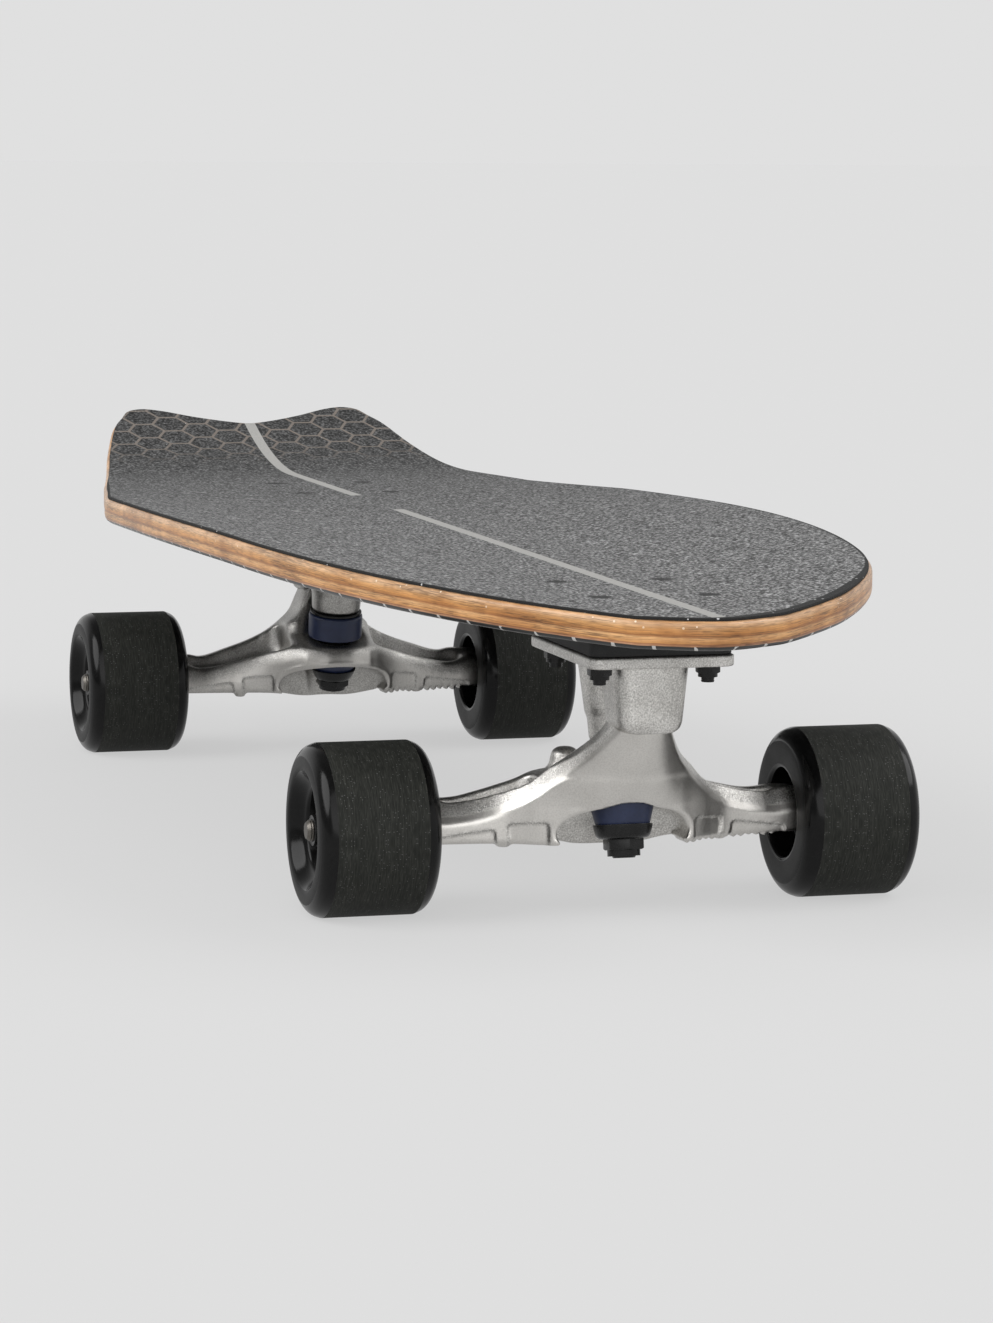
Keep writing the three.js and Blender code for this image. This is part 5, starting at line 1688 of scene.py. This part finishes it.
def skin_of(name, field, painted, axes):
    """An even mesh over the surface where a field on a grid is zero, with one point for each cell
    that the surface crosses. The painted grid's values go into an attribute."""
    filled = field < 0
    count = np.array(field.shape) - 1
    corners = [np.array((i, j, k)) for i in (0, 1) for j in (0, 1) for k in (0, 1)]
    windows = [tuple(slice(a, a + n) for a, n in zip(corner, count)) for corner in corners]
    inside = sum(filled[window].astype(np.int8) for window in windows)
    cells = np.argwhere((inside > 0) & (inside < 8))
    levels = [field[tuple((cells + corner).T)] for corner in corners]
    total, crossings = np.zeros((len(cells), 3)), np.zeros(len(cells))
    for a, first in enumerate(corners):
        for b in range(a + 1, 8):
            if abs(corners[b] - first).sum() == 1:
                crossed = (levels[a] < 0) != (levels[b] < 0)
                share = np.where(crossed, levels[a] / np.where(crossed, levels[a] - levels[b], 1), 0)
                total += share[:, None] * (corners[b] - first) + crossed[:, None] * first
                crossings += crossed
    places = total / crossings[:, None]
    paint = np.zeros(len(cells))
    for corner in corners:
        nearness = np.prod(np.where(corner, places, 1 - places), axis=1)
        paint += painted[tuple((cells + corner).T)] * nearness
    numbers = np.full(count, -1)
    numbers[tuple(cells.T)] = np.arange(len(cells))
    faces = []
    for axis in range(3):
        step = np.eye(3, dtype=int)
        second, third = step[axis - 2], step[axis - 1]
        nearer = filled[tuple(slice(0, n + 1 - s) for n, s in zip(count, step[axis]))]
        farther = filled[tuple(slice(s, None) for s in step[axis])]
        crossed = np.argwhere(nearer != farther)
        shifts = (second * 0, second, second + third, third)
        quads = np.stack([numbers[tuple((crossed - shift).T)] for shift in shifts], axis=1)
        leaving = nearer[tuple(crossed.T)]
        quads[~leaving] = quads[~leaving][:, ::-1]
        faces.append(quads)
    spacing = np.array([axis[1] - axis[0] for axis in axes])
    points = np.array([axis[0] for axis in axes]) + (cells + places) * spacing
    made = new_object(name, points, np.vstack(faces).tolist())
    made.data.attributes.new("ground", "FLOAT", "POINT").data.foreach_set("value", paint.astype(np.float32))
    return made


def make_hanger(truck):
    """The hanger's skin, from its field on a grid round it."""
    axes = [np.arange(low * mm, high * mm, hanger_cell) for low, high in hanger_reach]
    casting = skin_of(f"{truck['name']}_casting", *hanger_field(truck, *np.ix_(*axes)), axes)
    casting.data.transform(Matrix.Translation(truck["axle"]))
    tumbled = casting.modifiers.new("tumbled", "SMOOTH")
    tumbled.factor = 0.4
    tumbled.iterations = hanger_smoothing
    baked(casting)
    casting.data.shade_smooth()
    return casting


for truck in trucks:
    hanger = make_hanger(truck)
    pin_low = truck["socket"] - 4 * clearance
    pin_high = truck["socket"] + cup_depth - cup_floor - clearance
    corners = [(0, pin_low, 0), (pin_radius, pin_low, 0), (pin_radius, pin_high, pin_round)]
    profile = softened(corners + [(0, pin_high, 0)])
    pin = turned(f"{truck['name']}_pivot_pin", profile, truck["pivot"])
    smooth_shaded(pin)
    for piece in (hanger, pin):
        piece.data.materials.clear()
        piece.data.materials.append(cast_metals[truck["name"]])
        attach(piece, f"{truck['name']}_truck")
    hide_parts(f"{truck['name']}_hanger")


# Wheels
# Poured black urethane: a tread that the grinder left matt and streaked, glossy moulded lips, a
# satin ring on each side and a deep glossy recess round the outer bearing.
wheel_radius = 32.5 * mm
wheel_half = 23.2 * mm
tread_half = 17.3 * mm
core_half = 12.2 * mm
bearing_radius = 11 * mm
bearing_width = 7 * mm
inner_recess = 17 * mm
hub_hole = 8.6 * mm
seat_gap = 0.1 * mm
streak_stretch = 0.09
streak_share = 0.8
tread_tones = [
    (0.36, (0.008, 0.009, 0.007, 1)),
    (0.5, (0.0175, 0.0185, 0.0155, 1)),
    (0.64, (0.04, 0.041, 0.036, 1)),
]
gloss_tones = [(0.35, grey(0.003)), (0.65, grey(0.006))]
gloss_grain = (1.5 * mm, 12 * mm)
satin_tones = [(0.35, grey(0.006)), (0.65, grey(0.011))]
satin_grain = (0.8 * mm, 8 * mm, 0.4)
satin_finish = {"rough": (0.36, 0.48), "bump": (0.03 * mm, 0.5), "Specular_IOR_Level": 0.15}
satin_band = (21.5 * mm, 27.2 * mm)
flat_share = 0.85
tread_depth = 1 * mm
# Radius, place along the axle and the rounding of each corner, from the inner bearing seat out
# over the tread to the outer seat. Positive is the wheel's outer side.
bearing_low = core_half - bearing_width - clearance
wheel_corners = [
    (hub_hole, -bearing_low, 0),
    (bearing_radius + seat_gap, -bearing_low, 0),
    (bearing_radius + seat_gap, -core_half, 0.3 * mm),
    (inner_recess - 0.4 * mm, -core_half, 1 * mm),
    (inner_recess, -wheel_half + 0.1 * mm, 1.6 * mm),
    (27.6 * mm, -wheel_half, 3 * mm),
    (31.3 * mm, -20.6 * mm, 2.6 * mm),
    (wheel_radius, -tread_half, 0.35 * mm),
    (wheel_radius, tread_half, 0.35 * mm),
    (31.3 * mm, 20.6 * mm, 2.6 * mm),
    (27.8 * mm, wheel_half - 0.2 * mm, 3 * mm),
    (22.6 * mm, wheel_half, 1.4 * mm),
    (18.6 * mm, 18.2 * mm, 3 * mm),
    (16.4 * mm, 17.4 * mm, 1 * mm),
    (15.6 * mm, core_half + 0.8 * mm, 1.2 * mm),
    (bearing_radius + 1 * mm, core_half, 0.4 * mm),
    (bearing_radius + seat_gap, core_half - 0.2 * mm, 0.2 * mm),
    (bearing_radius + seat_gap, bearing_low, 0),
    (hub_hole, bearing_low, 0),
    (hub_hole, -bearing_low, 0),
]


def make_tread():
    """Urethane ground round the wheel. The streaks are folded, so that they close at the back."""
    material, tree, shader = new_material("ground urethane", Roughness=0.7, Specular_IOR_Level=0.25)
    spread = add_node(tree, "ShaderNodeUVMap", uv_map="round_and_along").outputs[0]
    u, v, _ = add_node(tree, "ShaderNodeSeparateXYZ", {0: spread}).outputs
    folded = calc(tree, "ABSOLUTE", calc(tree, "SUBTRACT", u, math.pi * wheel_radius))
    spread = add_node(tree, "ShaderNodeCombineXYZ", {"X": folded, "Y": v}).outputs[0]
    drawn_out = {"X": calc(tree, "MULTIPLY", folded, streak_stretch), "Y": v}
    drawn_out = add_node(tree, "ShaderNodeCombineXYZ", drawn_out).outputs[0]
    sizes = {"Fine_Size": 0.45 * mm, "Broad_Size": 2.4 * mm, "Broad_Share": 0.2}
    streaks = use_group(tree, grain, Vector=drawn_out, **sizes)
    cloud = use_group(tree, grain, Vector=spread, Fine_Size=2.5 * mm, Broad_Size=14 * mm, Broad_Share=0.6)
    cloud = calc(tree, "MULTIPLY", cloud, 1 - streak_share)
    colour = ramp(tree, calc(tree, "MULTIPLY_ADD", streaks, streak_share, cloud), tread_tones)
    dust = use_group(tree, specks, Vector=spread, Spacing=1.0 * mm, Radius=0.17 * mm, Share=0.55)
    colour = blend_colour(tree, calc(tree, "MULTIPLY", dust, 0.5), colour, grey(0.2))
    tree.links.new(colour, shader.inputs["Base Color"])
    add_bump(tree, shader, streaks, distance=0.06 * mm, strength=0.6)
    return material


wheel_materials = [
    make_tread(),
    cloudy_material("moulded urethane", gloss_tones, gloss_grain, (0.12, 0.2), Specular_IOR_Level=0.2),
    cloudy_material("satin urethane", satin_tones, satin_grain, **satin_finish),
]
wheel_profile = softened(wheel_corners)
wheels = [
    (truck, f"{truck['name']}_{hand_name}", hand)
    for truck in trucks
    for hand_name, hand in (("left", 1), ("right", -1))
]
for truck, name, hand in wheels:
    centre = Vector(joints[f"{name}_wheel_spin"]["pos_m"])
    matrix = Matrix.Translation(centre) @ Matrix.Rotation(-hand * math.pi / 2, 4, "X")
    tyre = turned(f"{name}_tyre", wheel_profile, matrix, 128)
    smooth_shaded(tyre, *wheel_materials, degrees=30)
    for face in tyre.data.polygons:
        away = face.center - centre
        radius = math.hypot(away.x, away.z)
        if abs(away.y) < tread_half and radius > wheel_radius - tread_depth:
            face.material_index = 0
        elif satin_band[0] < radius < satin_band[1] and abs(face.normal.y) > flat_share:
            face.material_index = 2
        else:
            face.material_index = 1
    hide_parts(f"{name}_wheel")
    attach(tyre, f"{name}_wheel")


# Bearings
# Two sealed ball bearings press into each wheel: steel races with a black shield between them,
# set a little back from the face.
bearing_bore = 4.2 * mm
shield_low = 6.1 * mm
shield_high = 9.4 * mm
shield_back = 0.5 * mm


def make_bare_steel(name, darkest, brightest, smoothest):
    tones = [(0.35, (*darkest, 1)), (0.65, (*brightest, 1))]
    finish = {"rough": (smoothest, smoothest + 0.14), "bump": (0.02 * mm, 0.4), "Metallic": 1.0}
    return cloudy_material(name, tones, (0.4 * mm, 6 * mm), **finish)


race_steel = make_bare_steel("polished steel", (0.30, 0.30, 0.29), (0.44, 0.44, 0.43), 0.2)
half = bearing_width / 2
shield_slope = 0.1 * mm
one_face = [
    (bearing_bore, half, 0.3 * mm),
    (shield_low - shield_slope, half, 0.15 * mm),
    (shield_low, half - shield_back, 0.1 * mm),
    (shield_high, half - shield_back, 0.1 * mm),
    (shield_high + shield_slope, half, 0.15 * mm),
    (bearing_radius, half, 0.4 * mm),
]
other_face = [(radius, -height, rounding) for radius, height, rounding in one_face[::-1]]
bearing_profile = softened([(bearing_bore, 0, 0), *one_face, *other_face, (bearing_bore, 0, 0)])
for truck, name, hand in wheels:
    centre = Vector(joints[f"{name}_wheel_spin"]["pos_m"])
    for where, outer in (("outer", 1), ("inner", -1)):
        middle = centre + Vector((0, hand * outer * (core_half - half), 0))
        matrix = Matrix.Translation(middle) @ Matrix.Rotation(-math.pi / 2, 4, "X")
        bearing = turned(f"{name}_{where}_ball_bearing", bearing_profile, matrix, 64)
        smooth_shaded(bearing, race_steel, cup_plastic)
        for face in bearing.data.polygons:
            away = face.center - middle
            face.material_index = int(shield_low < math.hypot(away.x, away.z) < shield_high)
        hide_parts(f"{name}_{where}_bearing")
        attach(bearing, f"{name}_wheel")


# Axles
# An oiled steel rod runs through each hanger and carries two wheels. Its ends are threaded.
track = 187.4 * mm
speed_washer_thickness = 0.8 * mm
speed_washer_radius = 7.4 * mm
axle_nut_height = 6.4 * mm
axle_nut_flats = 12.7 * mm
axle_overhang = 1.8 * mm
axle_chamfer = 0.8 * mm
axle_chamfer_depth = 1.3 * axle_chamfer
axle_thread_depth = 0.3 * mm
face_gap = 0.05 * mm
washer_low = track / 2 + core_half + face_gap
nut_low = washer_low + speed_washer_thickness + face_gap
axle_end = track / 2 + core_half + clearance * 2 + speed_washer_thickness
axle_end += axle_nut_height + axle_overhang
axle_steel = make_bare_steel("oiled steel", (0.11, 0.10, 0.09), (0.21, 0.20, 0.18), 0.36)
for truck in trucks:
    half_profile = [(axle_radius, 0), (axle_radius, washer_low)]
    half_profile += thread(axle_radius, washer_low, axle_end - axle_chamfer, axle_thread_depth)
    half_profile += [(axle_radius - axle_chamfer_depth, axle_end), (0, axle_end)]
    other_half = [(radius, -height) for radius, height in half_profile[:0:-1]]
    matrix = Matrix.Translation(truck["axle"]) @ Matrix.Rotation(-math.pi / 2, 4, "X")
    rail = turned(f"{truck['name']}_steel_axle", other_half + half_profile, matrix, 48)
    smooth_shaded(rail, axle_steel)
    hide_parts(f"{truck['name']}_axle")
    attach(rail, f"{truck['name']}_truck")


# Axle washers and nuts
# A thin speed washer lies against each outer bearing, and a black lock nut holds the wheel on.
axle_collar_shares = (1 / 3, 0.45)
washer_high = washer_low + speed_washer_thickness
washer_corners = [
    (axle_radius + press_fit, -washer_low, 0),
    (speed_washer_radius, -washer_low, 0.2 * mm),
    (speed_washer_radius, -washer_high, 0.2 * mm),
    (axle_radius + press_fit, -washer_high, 0.1 * mm),
    (axle_radius + press_fit, -washer_low, 0),
]
for truck, name, hand in wheels:
    outward_turn = Matrix.Translation(truck["axle"]) @ Matrix.Rotation(hand * math.pi / 2, 4, "X")
    washer = turned(f"{name}_thin_washer", softened(washer_corners), outward_turn, 48)
    smooth_shaded(washer, race_steel)
    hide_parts(f"{name}_speed_washer")
    nut = new_object(f"{name}_wheel_nut", [(0, 0, -nut_low)], [])
    sizes = {"flats": axle_nut_flats, "height": axle_nut_height, "bore": axle_radius + press_fit / 2}
    sizes["collar_height"] = axle_nut_height * axle_collar_shares[0]
    sizes["collar_radius"] = axle_nut_flats * axle_collar_shares[1]
    grow(nut, lock_nut, material=black_steel, **sizes)
    nut.data.transform(outward_turn)
    edged(nut, small_edge * 1.5)
    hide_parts(f"{name}_axle_nut")
    for piece in (washer, nut):
        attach(piece, f"{truck['name']}_truck")


visual_low, visual_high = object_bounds()
sizes = {
    "cad": [list(cad_low), list(cad_high)],
    "visual": [list(visual_low), list(visual_high)],
}
